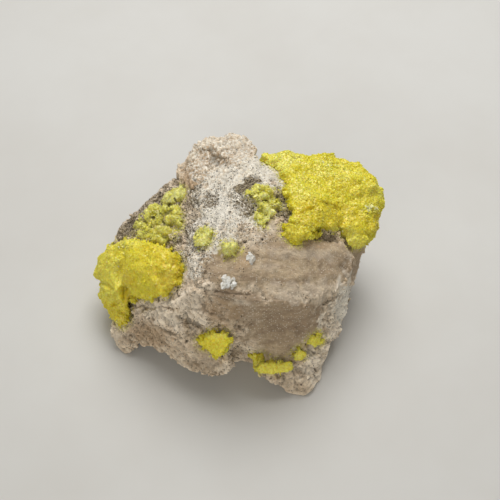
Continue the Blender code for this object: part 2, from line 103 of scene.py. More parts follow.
# ---------------------------------------------------------------- how the lump is shown
@dataclass(frozen=True)
class ShowFace:
    """The side that is shown, with the plane that marks on it are set out on.

    A mark is (right, up) in millimetres on the plane square to the line of sight through the centre.
    """

    centre: Vector = field(default_factory=lambda: Vector((2.88, 3.26, 15)) * MM)
    tilt: float = math.radians(55)
    distance: float = 200 * MM
    lens: float = 60.0
    sensor: float = 36.0

    @property
    def right(self) -> Vector:
        """The direction to the right on the plane."""
        return Vector((1, 0, 0))

    @property
    def up(self) -> Vector:
        """The direction up on the plane."""
        return Vector((0, math.sin(self.tilt), math.cos(self.tilt)))

    @property
    def sight(self) -> Vector:
        """The line of sight, from the eye to the lump."""
        return Vector((0, math.cos(self.tilt), -math.sin(self.tilt)))

    @property
    def eye(self) -> Vector:
        """Where the lump is looked at from."""
        return self.centre - self.sight * self.distance

    def marks(self, points: Array) -> Array:
        """The marks that points are seen at.

        Args:
            points: Places in metres, one to a row.

        Returns:
            (right, up) in millimetres, one to a row.
        """
        ray = points - np.array(self.eye)
        seen = ray * (self.distance / (ray @ np.array(self.sight)))[:, None]
        return np.stack([seen @ np.array(self.right), seen @ np.array(self.up)], axis=1) / MM

    def facing(self, normals: Array) -> Array:
        """How squarely surfaces face the eye: 1 straight on, 0 side on, -1 turned away."""
        return -normals @ np.array(self.sight)


SHOW = ShowFace()


# ---------------------------------------------------------------- fields over the surface
def smooth_step(values: Array, low: float, high: float) -> Array:
    """Rises smoothly from 0 at low to 1 at high, which may lie below low."""
    share = np.clip((values - low) / (high - low), 0, 1)
    return share * share * (3 - 2 * share)


def cloud(points: Array, size: float, octaves: int = 3, seed: float = 0.0) -> Array:
    """Cloudy noise, about -1 to 1, with puffs this many millimetres wide and finer ones in them."""
    scaled = points / (size * MM) + seed
    return np.array([noise.fractal(place, 1.0, 2.0, octaves) for place in map(Vector, scaled)])


def cells(points: Array, size: float, seed: float = 0.0) -> Array:
    """How far each place is from the nearest of many scattered points, in shares of their spacing."""
    scaled = points / (size * MM) + seed
    return np.array([noise.voronoi(place)[0][0] for place in map(Vector, scaled)])


def crumbs_of(points: Array, size: float, seed: float = 0.0) -> Array:
    """Packed crumbs: each stands or lies by chance, is domed, and has a groove round it.

    Args:
        points: Places in metres.
        size: The width of a crumb, in millimetres.
        seed: Which packing it is.

    Returns:
        The height for each place, about -1 to 1.
    """
    found = [noise.voronoi(place) for place in map(Vector, points / (size * MM) + seed)]
    near = np.array([distances[:2] for distances, _ in found])
    middles = np.array([places[0] for _, places in found])
    chance = np.sin(middles @ CHANCE_AXIS) * CHANCE_STEP
    chance -= np.floor(chance)
    groove = smooth_step(near[:, 1] - near[:, 0], 0.18, 0.0)
    return chance - 0.5 + 0.5 * (0.5 - near[:, 0]) - 0.45 * groove


def patches(marks: Array, rows: Patches, ragged: Array | float = 0.0) -> Array:
    """The strength of soft-edged oval patches at marks.

    Args:
        marks: (right, up) of each place.
        rows: The patches.
        ragged: What is added to the distance from a patch's middle, to make its edge uneven.

    Returns:
        The strongest patch at each mark.
    """
    found = np.zeros(len(marks))
    for right, up, half_length, half_width, turn, strength in rows:
        angle = math.radians(turn)
        x, y = marks[:, 0] - right, marks[:, 1] - up
        along = (x * math.cos(angle) + y * math.sin(angle)) / half_length
        across = (y * math.cos(angle) - x * math.sin(angle)) / half_width
        away = np.hypot(along, across) + ragged
        found = np.maximum(found, strength * smooth_step(away, *PATCH_EDGE))
    return found


def pulled_in(marks: Array, outline: Outline, inset: Array) -> Array:
    """How far marks outside an outline have to move to lie inside it.

    Args:
        marks: (right, up) of each place.
        outline: The outline's corners.
        inset: How far inside it each comes to lie.

    Returns:
        The (right, up) shift of each mark, nothing for those inside.
    """
    best = np.full(len(marks), np.inf)
    shift = np.zeros_like(marks)
    inside = np.zeros(len(marks), dtype=bool)
    corners = np.array(outline, dtype=float)
    for start, end in zip(corners, np.roll(corners, -1, axis=0)):
        side = end - start
        share = np.clip((marks - start) @ side / (side @ side), 0, 1)
        gap = start + share[:, None] * side - marks
        away = np.hypot(gap[:, 0], gap[:, 1])
        nearer = away < best
        best[nearer] = away[nearer]
        shift[nearer] = gap[nearer]
        crossed = (start[1] > marks[:, 1]) != (end[1] > marks[:, 1])
        if side[1]:
            inside ^= crossed & (marks[:, 0] < start[0] + (marks[:, 1] - start[1]) * side[0] / side[1])
    return np.where(inside[:, None], 0, shift * (1 + inset / np.maximum(best, inset))[:, None])


def nearest(tree: BVHTree, points: Array) -> tuple[Array, Array, Array]:
    """Finds the nearest places on a tree's faces.

    Args:
        tree: The tree.
        points: The places that are asked for.

    Returns:
        The nearest places, the normals there, and how far away they are.
    """
    found = [tree.find_nearest(Vector(point)) for point in points]
    return tuple(np.array([near[part] for near in found]) for part in (0, 1, 3))


# ---------------------------------------------------------------- the bench
class Bench:
    """What every piece is made with: copies of solids, edit-mode work and modifiers."""

    @staticmethod
    def pick(obj: Object) -> None:
        """Selects this object alone and makes it the active one.

        Args:
            obj: The object.
        """
        bpy.ops.object.select_all(action="DESELECT")
        obj.select_set(True)
        bpy.context.view_layer.objects.active = obj

    @staticmethod
    def hang(name: str, data: bpy.types.ID) -> Object:
        """Puts a new object in the scene.

        Args:
            name: Its name.
            data: Its mesh, light or camera.

        Returns:
            The object.
        """
        obj = bpy.data.objects.new(name, data)
        bpy.context.scene.collection.objects.link(obj)
        return obj

    @staticmethod
    def edit(obj: Object, operator: Callable, **settings: object) -> None:
        """Runs an operator on the whole of an object in edit mode.

        Args:
            obj: The object.
            operator: The operator.
            **settings: What it is given.
        """
        Bench.pick(obj)
        bpy.ops.object.mode_set(mode="EDIT")
        bpy.ops.mesh.select_all(action="SELECT")
        operator(**settings)
        bpy.ops.object.mode_set(mode="OBJECT")

    @staticmethod
    def copy_of(node: str, name: str) -> Object:
        """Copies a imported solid, its loose triangles merged.

        Args:
            node: The solid's node.
            name: The copy's name.

        Returns:
            The copy.
        """
        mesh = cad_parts[node].data.copy()
        mesh.name = name
        mesh.materials.clear()
        obj = Bench.hang(name, mesh)
        Bench.edit(obj, bpy.ops.mesh.remove_doubles, threshold=MERGED)
        return obj

    @staticmethod
    def apply(obj: Object, kind: str, **settings: object) -> None:
        """Adds a modifier and applies it.

        Args:
            obj: The object.
            kind: The modifier's type.
            **settings: What it is set to.
        """
        Bench.pick(obj)
        modifier = obj.modifiers.new(kind.lower(), kind)
        for name, value in settings.items():
            setattr(modifier, name, value)
        bpy.ops.object.modifier_apply(modifier=modifier.name)

    @staticmethod
    def reskin(obj: Object, voxel: float, rounds: int) -> None:
        """Gives the object an even skin with faces of this width, smoothed in so many rounds."""
        Bench.apply(obj, "REMESH", mode="VOXEL", voxel_size=voxel, use_smooth_shade=True)
        Bench.apply(obj, "SMOOTH", iterations=rounds, factor=0.5)

    @staticmethod
    def join(first: Object, second: Object) -> Object:
        """Joins two objects.

        Args:
            first: The object that stays.
            second: The object that goes into it.

        Returns:
            The first.
        """
        Bench.pick(first)
        second.select_set(True)
        bpy.ops.object.join()
        return first

    @staticmethod
    def select_faces(obj: Object, wanted: Callable[[Vector], bool]) -> None:
        """Goes into edit mode with only the wanted faces selected.

        Args:
            obj: The object.
            wanted: Tells from a face's normal whether it is wanted.
        """
        Bench.pick(obj)
        bpy.ops.object.mode_set(mode="EDIT")
        bpy.ops.mesh.select_mode(type="FACE")
        bpy.ops.mesh.select_all(action="DESELECT")
        bpy.ops.object.mode_set(mode="OBJECT")
        for face in obj.data.polygons:
            face.select = wanted(face.normal)
        bpy.ops.object.mode_set(mode="EDIT")

    @staticmethod
    def read(obj: Object, what: str) -> Array:
        """Reads what the vertices hold.

        Args:
            obj: The object.
            what: What is read: co for places, normal for normals.

        Returns:
            Three numbers to a row.
        """
        flat = np.empty(len(obj.data.vertices) * 3)
        obj.data.vertices.foreach_get(what, flat)
        return flat.reshape(-1, 3)

    @staticmethod
    def surface(obj: Object) -> tuple[Array, Array]:
        """The vertices' places and their normals."""
        return Bench.read(obj, "co"), Bench.read(obj, "normal")

    @staticmethod
    def place(obj: Object, points: Array) -> None:
        """Moves the vertices, kept inside the box of the solids.

        Args:
            obj: The object.
            points: The places, one to a row.
        """
        low, high = (np.array(corner) for corner in CAD_BOX)
        kept = np.clip(points, low + BOX_MARGIN, high - BOX_MARGIN)
        obj.data.vertices.foreach_set("co", kept.ravel())
        obj.data.update()

    @staticmethod
    def mark(obj: Object, **marks: Array) -> None:
        """Stores values for a finish to read.

        Args:
            obj: The object.
            **marks: The values by name, spread evenly over the vertices.
        """
        for name, values in marks.items():
            each = len(obj.data.vertices) // len(values)
            stored = obj.data.attributes.new(name, "FLOAT", "POINT")
            stored.data.foreach_set("value", np.repeat(values, each).astype(np.float32))

    @staticmethod
    def mark_hollows(obj: Object, level: float) -> None:
        """Stores how far each vertex stands out of its surroundings, 0 in a hollow to 1 on a crest.

        Args:
            obj: The object, evenly meshed.
            level: What an even surface gets.
        """
        points, normals = Bench.surface(obj)
        ends = np.empty(len(obj.data.edges) * 2, dtype=np.int32)
        obj.data.edges.foreach_get("vertices", ends)
        first, second = ends.reshape(-1, 2).T
        sides = np.bincount(ends, minlength=len(points))[:, None]
        even = points
        for _ in range(HOLLOW_ROUNDS):
            sums = [
                np.bincount(first, even[second, axis], len(points))
                + np.bincount(second, even[first, axis], len(points))
                for axis in range(3)
            ]
            even = 0.5 * even + 0.5 * np.stack(sums, axis=1) / sides
        height = np.einsum("ij,ij->i", points - even, normals) / MM
        Bench.mark(obj, cavity=np.clip(level + HOLLOW_GAIN * height, 0, 1))

    @staticmethod
    def tree(*objects: Object) -> BVHTree:
        """Makes a search tree of faces.

        Args:
            *objects: The objects.

        Returns:
            The tree.
        """
        places: list[Vector] = []
        faces: list[tuple[int, ...]] = []
        for obj in objects:
            first = len(places)
            places += [vertex.co.copy() for vertex in obj.data.vertices]
            faces += [tuple(first + corner for corner in face.vertices) for face in obj.data.polygons]
        return BVHTree.FromPolygons(places, faces)

    @staticmethod
    def joined(name: str, points: Array, faces: Array) -> Object:
        """One flat-shaded object from places and the corners of triangles.

        Args:
            name: Its name.
            points: Places, one to a row.
            faces: Three corners to a row.

        Returns:
            The object.
        """
        mesh = bpy.data.meshes.new(name)
        mesh.vertices.add(len(points))
        mesh.loops.add(faces.size)
        mesh.polygons.add(len(faces))
        mesh.loops.foreach_set("vertex_index", faces.ravel())
        mesh.polygons.foreach_set("loop_start", np.arange(0, faces.size, 3))
        mesh.update(calc_edges=True)
        mesh.shade_flat()
        obj = Bench.hang(name, mesh)
        Bench.place(obj, points)
        return obj

    @staticmethod
    def shape_of(obj: Object) -> tuple[Array, Array]:
        """Takes an object apart and removes it.

        Args:
            obj: The object.

        Returns:
            Its places and the corners of its triangles.
        """
        Bench.edit(obj, bpy.ops.mesh.quads_convert_to_tris)
        shape = Bench.read(obj, "co"), np.array([tuple(face.vertices) for face in obj.data.polygons])
        bpy.data.objects.remove(obj)
        return shape


# ---------------------------------------------------------------- node trees
class Graph:
    """A node tree with short ways to add to it.  A value is a socket to link or a plain number."""

    def __init__(self, tree: bpy.types.NodeTree) -> None:
        """Takes the tree that nodes are added to."""
        self.tree = tree

    def put(self, socket: Socket, value: object) -> None:
        """Links a value to a socket, or sets it.

        Args:
            socket: The socket.
            value: The value.
        """
        if isinstance(value, Socket):
            self.tree.links.new(value, socket)
        else:
            socket.default_value = value

    def add(self, kind: str, inputs: Mapping | None = None, **settings: object) -> bpy.types.Node:
        """Adds a node.

        Args:
            kind: Its type.
            inputs: What its sockets are set to or linked from, by name or number.
            **settings: Its own settings.

        Returns:
            The node.
        """
        node = self.tree.nodes.new(kind)
        for name, value in settings.items():
            setattr(node, name, value)
        for key, value in (inputs or {}).items():
            self.put(node.inputs[key], value)
        return node

    def mix(self, share: object, first: object, second: object, blend: str = "MIX") -> Socket:
        """Mixes two colours, with this share of the second."""
        inputs = {0: share, 6: first, 7: second}
        return self.add("ShaderNodeMix", inputs, data_type="RGBA", blend_type=blend).outputs[2]

    def layered(self, colour: object, *layers: tuple[object, object]) -> Socket:
        """Lays colours over a first one.

        Args:
            colour: The first colour.
            *layers: The share and the colour of each layer.

        Returns:
            The colour.
        """
        for share, over in layers:
            colour = self.mix(share, colour, over)
        return colour

    def maths(self, operation: str, first: object, second: object = 0.0, clamp: bool = False) -> Socket:
        """Works out one value from two, kept from 0 to 1 where asked."""
        inputs = {0: first, 1: second}
        return self.add("ShaderNodeMath", inputs, operation=operation, use_clamp=clamp).outputs[0]

    def times(self, first: object, second: object) -> Socket:
        """Multiplies two values."""
        return self.maths("MULTIPLY", first, second)

    def plus(self, first: object, second: object) -> Socket:
        """Adds two values."""
        return self.maths("ADD", first, second)

    def ramp(self, value: object, low: object, high: object, start: float = 0.0, end: float = 1.0) -> Socket:
        """Carries a value smoothly from the range of low to high to that of start to end."""
        inputs = {0: value, 1: low, 2: high, 3: start, 4: end}
        return self.add("ShaderNodeMapRange", inputs, interpolation_type="SMOOTHSTEP").outputs[0]

    def noise(self, place: Socket, width: object, detail: float, rough: float) -> Socket:
        """Noise with puffs of this width, and so many finer layers so strong."""
        inputs = {"Vector": place, "Detail": detail, "Roughness": rough}
        return self.add("ShaderNodeTexNoise", inputs | {"Scale": self.maths("DIVIDE", 1.0, width)}).outputs[0]

    def spots(self, place: Socket, spacing: object) -> bpy.types.Node:
        """Scattered points with this spacing."""
        scale = self.maths("DIVIDE", 1.0, spacing)
        return self.add("ShaderNodeTexVoronoi", {"Vector": place, "Scale": scale})

    def attribute(self, name: str) -> Socket:
        """The value stored on the surface under this name."""
        return self.add("ShaderNodeAttribute", attribute_name=name).outputs["Fac"]

    def scaled(self, place: Socket, scale: tuple[float, float, float]) -> Socket:
        """A place with each of its numbers multiplied."""
        return self.add("ShaderNodeVectorMath", {0: place, 1: scale}, operation="MULTIPLY").outputs[0]

    def place(self) -> Socket:
        """The place on the object, in millimetres."""
        return self.scaled(self.add("ShaderNodeTexCoord").outputs["Object"], (1 / MM, 1 / MM, 1 / MM))

    def group(self, tree: bpy.types.NodeTree, **inputs: object) -> Socket:
        """Places a node group and gives its first output."""
        named = {key.capitalize(): value for key, value in inputs.items()}
        return self.add("ShaderNodeGroup", named, node_tree=tree).outputs[0]


class Effects:
    """Effects that several finishes use, each one node group that is placed with its own values."""

    _made: dict[str, bpy.types.NodeTree] = {}

    @classmethod
    def _tree(cls, name: str, values: Sequence[str], result: str, work: Callable) -> bpy.types.NodeTree:
        """The group of this name, built when it is first asked for.

        Args:
            name: The group's name.
            values: The names of the values it takes beside a place.
            result: The name of the value it gives.
            work: Adds its nodes to a graph, from the group's inputs, and gives the result.

        Returns:
            The group.
        """
        if name not in cls._made:
            tree = bpy.data.node_groups.new(name, "ShaderNodeTree")
            tree.interface.new_socket("Place", in_out="INPUT", socket_type="NodeSocketVector")
            for value in values:
                tree.interface.new_socket(value, in_out="INPUT", socket_type="NodeSocketFloat")
            tree.interface.new_socket(result, in_out="OUTPUT", socket_type="NodeSocketFloat")
            graph = Graph(tree)
            given = graph.add("NodeGroupInput").outputs
            graph.add("NodeGroupOutput", {0: work(graph, given)})
            cls._made[name] = tree
        return cls._made[name]

    @staticmethod
    def _puffy(graph: Graph, given: Mapping) -> Socket:
        """The nodes of cloudy patches: noise that is stepped from Low to High."""
        puffs = graph.noise(given["Place"], given["Size"], 4.0, 0.6)
        return graph.ramp(puffs, given["Low"], given["High"])

    @staticmethod
    def _speckled(graph: Graph, given: Mapping) -> Socket:
        """The nodes of specks: round spots, of which only a Share is chosen.

        Args:
            graph: The group's graph.
            given: The group's inputs.

        Returns:
            1 on a speck and 0 between them.
        """
        spots = graph.spots(given["Place"], given["Spacing"])
        chance = graph.add("ShaderNodeSeparateColor", {0: spots.outputs["Color"]}).outputs[0]
        chosen = graph.maths("LESS_THAN", chance, given["Share"])
        inner = graph.times(given["Radius"], 0.6)
        inputs = {0: spots.outputs["Distance"], 1: given["Radius"], 2: inner, 3: 0.0, 4: 1.0}
        return graph.times(graph.add("ShaderNodeMapRange", inputs).outputs[0], chosen)

    @staticmethod
    def _gritty(graph: Graph, given: Mapping) -> Socket:
        """The nodes of fine grain: noise with grit sunk into it."""
        grit = graph.times(graph.spots(given["Place"], given["Size"]).outputs["Distance"], -0.5)
        return graph.plus(graph.noise(given["Place"], given["Size"], 3.0, 0.7), grit)

    @classmethod
    def clouds(cls, graph: Graph, place: Socket, puffs: Puffs) -> Socket:
        """Cloudy patches.

        Args:
            graph: The graph that they are added to.
            place: The place on the object.
            puffs: How wide they are, and where they begin and end.

        Returns:
            0 between them to 1 in them.
        """
        tree = cls._tree("Clouding", ("Size", "Low", "High"), "Mask", cls._puffy)
        size, low, high = puffs
        return graph.group(tree, place=place, size=size, low=low, high=high)

    @classmethod
    def specks(cls, graph: Graph, place: Socket, spacing: float, radius: float, share: object) -> Socket:
        """Small specks, so far apart, with a radius in shares of that, where only a share is there."""
        tree = cls._tree("Specks", ("Spacing", "Radius", "Share"), "Mask", cls._speckled)
        return graph.group(tree, place=place, spacing=spacing, radius=radius, share=share)

    @classmethod
    def grain(cls, graph: Graph, place: Socket, size: float) -> Socket:
        """Fine grain for bump, this many millimetres wide."""
        return graph.group(cls._tree("Grain", ("Size",), "Height", cls._gritty), place=place, size=size)


@dataclass(frozen=True)
class Finish:
    """What every finish starts from: a material with one Principled shader."""

    name: str

    def begin(self) -> tuple[bpy.types.Material, Graph, Socket]:
        """Begins a material.

        Returns:
            The material, its graph and the place on the object.
        """
        material = bpy.data.materials.new(self.name)
        material.use_nodes = True
        graph = Graph(material.node_tree)
        return material, graph, graph.place()

    @staticmethod
    def feed(graph: Graph, **sockets: object) -> None:
        """Links or sets the shader's sockets.

        Args:
            graph: The graph.
            **sockets: The values by socket, with underscores for spaces.
        """
        shader = graph.tree.nodes["Principled BSDF"]
        for key, value in sockets.items():
            graph.put(shader.inputs[key.replace("_", " ")], value)

    @staticmethod
    def bump(graph: Graph, height: Socket, depth: float, strength: float) -> Socket:
        """The normal bent by a height from 0 to 1, where 1 stands for this many metres."""
        inputs = {"Strength": strength, "Distance": depth, "Height": height}
        return graph.add("ShaderNodeBump", inputs).outputs[0]


@dataclass(frozen=True)
class StoneFinish(Finish):
    """Pale broken stone: taupe where it is worn, powdery white above, tan-grey on broken faces."""

    name: str = "stone"
    broken: Colour = tint(240, 225, 202)
    broken_dark: Colour = tint(204, 184, 158)
    worn: Colour = tint(214, 193, 161)
    # dark worn colour of streaks, also laid as painted shade in the shade zone
    worn_dark_and_shade: Colour = tint(163, 139, 115)
    powder: Colour = tint(247, 241, 228)
    shelf: Colour = tint(160, 145, 118)
    speck: Colour = tint(54, 44, 34)
    salt: Colour = tint(236, 228, 210)
    # warm brown of the stone, also laid as painted shade
    warm_and_shade: Colour = tint(196, 169, 135)
    pale: Colour = tint(250, 239, 221)
    stain: Colour = tint(224, 216, 120)
    mottle: Puffs = (2.6, 0.38, 0.62)
    fine: Puffs = (0.55, 0.32, 0.68)
    streak: Puffs = (1.5, 0.36, 0.68)
    drawn_out: tuple[float, float, float] = (0.5, 1.0, 1.0)  # the streaks run along X
    pepper: tuple[Pair, ...] = ((0.7, 0.35), (0.5, 1.1), (0.36, 2.0))  # spacing, and how many
    pepper_radius: float = 0.38
    salt_specks: tuple[float, float, float] = (0.42, 0.42, 0.4)  # spacing, radius, share
    painted_hollow_shade: Pair = (0.6, 1.12)  # how dark the painted shade in the hollows is, and how light the painted light on the crests
    grain_size: float = 0.3
    relief: float = 0.16 * MM

    def make(self) -> bpy.types.Material:
        """Makes the stone's material, which reads the zones that are stored on the mesh.

        Returns:
            The material.
        """
        material, graph, place = self.begin()
        zone = graph.attribute
        mottle = Effects.clouds(graph, place, self.mottle)
        fine = Effects.clouds(graph, place, self.fine)
        streak = Effects.clouds(graph, graph.scaled(place, self.drawn_out), self.streak)
        calm, dark, shade = zone("calm"), zone("dark"), zone("shade")

        broken = graph.mix(graph.times(mottle, 0.7), self.broken, self.broken_dark)
        worn = graph.mix(graph.times(streak, 0.6), self.worn, self.worn_dark_and_shade)
        # Painted shade: the shade zone darkens the worn stone.
        worn = graph.mix(shade, worn, self.worn_dark_and_shade)
        dusted = graph.maths("SUBTRACT", graph.times(zone("powder"), 1.5), fine)
        shelf = graph.ramp(graph.plus(dark, graph.times(fine, 0.6)), 0.6, 1.2)
        stain = graph.times(zone("stain"), graph.ramp(fine, 0.1, 0.7, 0.0, 0.7))
        colour = graph.layered(
            graph.mix(calm, broken, worn),
            (zone("pale"), self.pale),
            (zone("warm_and_shade"), self.warm_and_shade),
            (graph.ramp(dusted, -0.1, 0.7), self.powder),
            (shelf, self.shelf),
            (stain, self.stain),
        )
        # Painted shade and light: the colour is darkened in hollows and lightened on crests, by how far each
        # place stands out.
        tone = graph.ramp(zone("cavity"), 0.0, 1.0, *self.painted_hollow_shade)
        tones = graph.add("ShaderNodeCombineColor", {0: tone, 1: tone, 2: tone}).outputs[0]
        colour = graph.mix(1.0, colour, tones, "MULTIPLY")
        salt = Effects.specks(graph, place, *self.salt_specks)
        many = graph.plus(graph.times(dark, 0.6), zone("speckled"))
        many = graph.plus(many, graph.ramp(calm, 0.0, 1.0, 0.045, 0.004))
        pepper = 0.0
        for spacing, part in self.pepper:
            spots = Effects.specks(graph, place, spacing, self.pepper_radius, graph.times(many, part))
            pepper = graph.maths("MAXIMUM", pepper, spots)
        colour = graph.layered(
            colour,
            (graph.times(salt, graph.ramp(shade, 0.0, 0.6, 0.4, 0.7)), self.salt),
            (graph.times(pepper, graph.ramp(dark, 0.0, 0.6, 0.8, 0.92)), self.speck),
        )

        height = graph.plus(Effects.grain(graph, place, self.grain_size), fine)
        height = graph.maths("SUBTRACT", height, graph.times(pepper, 0.6))
        self.feed(
            graph,
            Base_Color=colour,
            Roughness=graph.ramp(fine, 0.0, 1.0, 0.82, 0.97),
            Normal=self.bump(graph, height, self.relief, 0.9),
            Diffuse_Roughness=0.8,
            IOR=1.4,
        )
        return material


@dataclass(frozen=True)
class SulfurFinish(Finish):
    """Crystals of sulfur, with a resinous gloss and light that soaks in."""

    slot: str
    body: Colour = tint(234, 220, 24)
    deep: Colour = tint(216, 186, 14)
    pale: Colour = tint(244, 236, 100)
    # painted shade in the hollows
    hollow: Colour = tint(176, 158, 20)
    dust: Colour = tint(214, 208, 158)
    glint: Colour = tint(252, 248, 196)
    dusty: float = 0.0
    drift: Puffs = (5.0, 0.38, 0.62)
    fine: Puffs = (0.8, 0.3, 0.7)
    grains: Puffs = (0.42, 0.42, 0.58)
    grain_size: float = 0.4
    relief: float = 0.08 * MM

    def make(self) -> bpy.types.Material:
        """Makes the sulfur's material, which reads each crystal's own tone and how deep it lies, and paints
        shade where it lies deep.

        Returns:
            The material.
        """
        material, graph, place = self.begin()
        drift = Effects.clouds(graph, place, self.drift)
        fine = Effects.clouds(graph, place, self.fine)
        grains = Effects.clouds(graph, place, self.grains)
        tone = graph.attribute("tone")
        golden = graph.plus(graph.times(drift, 0.3), graph.attribute("golden"))
        colour = graph.layered(
            self.body,
            # Golden tint, in places painted shade.
            (graph.maths("MULTIPLY", golden, 0.6, True), self.deep),
            # Pale tint, in places painted light.
            (graph.times(graph.attribute("pale"), 0.8), self.pale),
            (graph.ramp(tone, 0.55, 1.0, 0.0, 0.75), self.pale),
            (graph.ramp(tone, 0.35, 0.0, 0.0, 0.4), self.deep),
            (graph.ramp(grains, 0.5, 1.0, 0.0, 0.36), self.pale),
            (graph.ramp(grains, 0.5, 0.0, 0.0, 0.5), self.deep),
            # Painted shade: the hollow colour where the surface lies deep.
            (graph.ramp(graph.attribute("cavity"), 0.45, 0.0, 0.0, 0.6), self.hollow),
            (graph.ramp(tone, 0.8, 0.95, 0.0, 0.7), self.glint),
            (graph.times(graph.ramp(fine, 0.25, 0.75), self.dusty), self.dust),
        )
        self.feed(
            graph,
            Base_Color=colour,
            Roughness=graph.ramp(fine, 0.0, 1.0, 0.3, 0.65),
            Normal=self.bump(graph, Effects.grain(graph, place, self.grain_size), self.relief, 0.7),
            IOR=1.7,
            Subsurface_Weight=0.6,
            Subsurface_Radius=(1.0, 0.8, 0.12),
            Subsurface_Scale=1.1 * MM,
        )
        return material


LEMON = SulfurFinish("sulfur_lemon", "sulfur")
# A lighter copy of the lemon sulfur for the patches on the shaded front: painted light.
LIT_LEMON = SulfurFinish(
    "sulfur_lit_lemon", "sulfur", body=tint(255, 240, 36), deep=tint(240, 200, 16), pale=tint(254, 244, 104)
)
GOLDEN = SulfurFinish(
    "sulfur_golden", "sulfur_golden", body=tint(241, 226, 38), deep=tint(224, 186, 14),
    pale=tint(243, 234, 92),
)
PALE = SulfurFinish(
    "sulfur_pale", "sulfur_pale", body=tint(237, 229, 82), deep=tint(200, 182, 42),
    pale=tint(248, 243, 148), hollow=tint(172, 160, 62), dusty=0.2,
)


@dataclass(frozen=True)
class ClearFinish(Finish):
    """Clear crystal, a little milky."""

    name: str = "clear_crystal"
    glass: Colour = tint(255, 255, 251)
    milk: Colour = tint(232, 226, 212)
    veil: Puffs = (0.7, 0.35, 0.65)
    grain_size: float = 0.5
    relief: float = 0.02 * MM

    def make(self) -> bpy.types.Material:
        """Makes the clear crystals' material.

        Returns:
            The material.
        """
        material, graph, place = self.begin()
        veil = Effects.clouds(graph, place, self.veil)
        self.feed(
            graph,
            Base_Color=graph.mix(veil, self.glass, self.milk),
            Roughness=graph.ramp(veil, 0.0, 1.0, 0.04, 0.25),
            Normal=self.bump(graph, Effects.grain(graph, place, self.grain_size), self.relief, 0.4),
            IOR=1.54,
            Transmission_Weight=0.25,
        )
        return material


@dataclass(frozen=True)
class TableFinish(Finish):
    """The plain pale surface that the lump lies on, nearly even and matte."""

    name: str = "table"
    ground: Colour = tint(203, 202, 198)
    worn: Colour = tint(198, 196, 191)
    drift: Puffs = (60.0, 0.3, 0.7)

    def make(self) -> bpy.types.Material:
        """Makes the table's material.

        Returns:
            The material.
        """
        material, graph, place = self.begin()
        drift = Effects.clouds(graph, place, self.drift)
        self.feed(graph, Base_Color=graph.mix(drift, self.ground, self.worn), Roughness=0.6)
        return material


# ---------------------------------------------------------------- small shapes that repeat
class Grain(Enum):
    """The small shapes that are scattered, each modelled once and one unit long."""

    TIPPED = "a stout crystal with its tips cut flat"
    POINTED = "a pointed crystal"
    CHIP = "a rounded crumb"
    BLOCK = "a blocky crumb"

    def model(self) -> tuple[Array, Array]:
        """Models the shape about the origin.

        Returns:
            Its places and the corners of its triangles.
        """
        bpy.ops.object.select_all(action="DESELECT")
        if self is Grain.CHIP:
            bpy.ops.mesh.primitive_ico_sphere_add(subdivisions=1, radius=0.5)
        elif self is Grain.BLOCK:
            bpy.ops.mesh.primitive_cube_add(size=0.8)
        else:
            tip = 0.16 if self is Grain.TIPPED else 0.0
            bpy.ops.mesh.primitive_cone_add(
                vertices=4, radius1=0.42, radius2=tip, depth=0.5, location=(0, 0, 0.25)
            )
            bpy.ops.object.transform_apply(location=True, rotation=True, scale=True)
            Bench.select_faces(bpy.context.active_object, lambda normal: normal.z < -0.9)
            bpy.ops.mesh.extrude_region_move(TRANSFORM_OT_translate={"value": (0, 0, -0.5)})
            bpy.ops.transform.resize(value=(0.4, 0.4, 1.0))
            bpy.ops.object.mode_set(mode="OBJECT")
        return Bench.shape_of(bpy.context.active_object)


def turns(normals: Array, lean: float, pick: Chance) -> Array:
    """A turn for each grain, its long axis near the surface's normal.

    Args:
        normals: The surface's normals.
        lean: How far an axis may lean from its normal, in degrees.
        pick: The source of chance.

    Returns:
        One 3 by 3 turn for each normal.
    """
    leaning = normals + pick.normal(size=normals.shape) * math.tan(math.radians(lean)) * 0.5
    upward = leaning / np.linalg.norm(leaning, axis=1, keepdims=True)
    side = np.cross(upward, pick.normal(size=normals.shape))
    side /= np.linalg.norm(side, axis=1, keepdims=True)
    return np.stack([side, np.cross(upward, side), upward], axis=2)


def scatter(
    name: str,
    grain: Grain,
    spots: Array,
    normals: Array,
    sizes: Array,
    lean: float,
    ragged: float,
    pick: Chance,
) -> Object:
    """One mesh of many copies of a shape.

    Args:
        name: The object's name.
        grain: The shape.
        spots: Where each copy's middle goes.
        normals: The surface's normal there.
        sizes: Each copy's length, in metres.
        lean: How far its axis may lean, in degrees.
        ragged: How much its width, its length and each of its corners may vary, as a share.
        pick: The source of chance.

    Returns:
        The joined mesh.
    """
    places, faces = grain.model()
    stretch = 1 + pick.uniform(-ragged, ragged, (len(spots), 3))
    shift = pick.uniform(-ragged, ragged, (len(spots), len(places), 3)) * 0.4
    local = (places[None] * stretch[:, None] + shift) * sizes[:, None, None]
    turned = np.einsum("nij,nkj->nki", turns(normals, lean, pick), local)
    points = (turned + spots[:, None]).reshape(-1, 3)
    corners = (faces[None] + np.arange(len(spots))[:, None, None] * len(places)).reshape(-1, 3)
    return Bench.joined(name, points, corners)


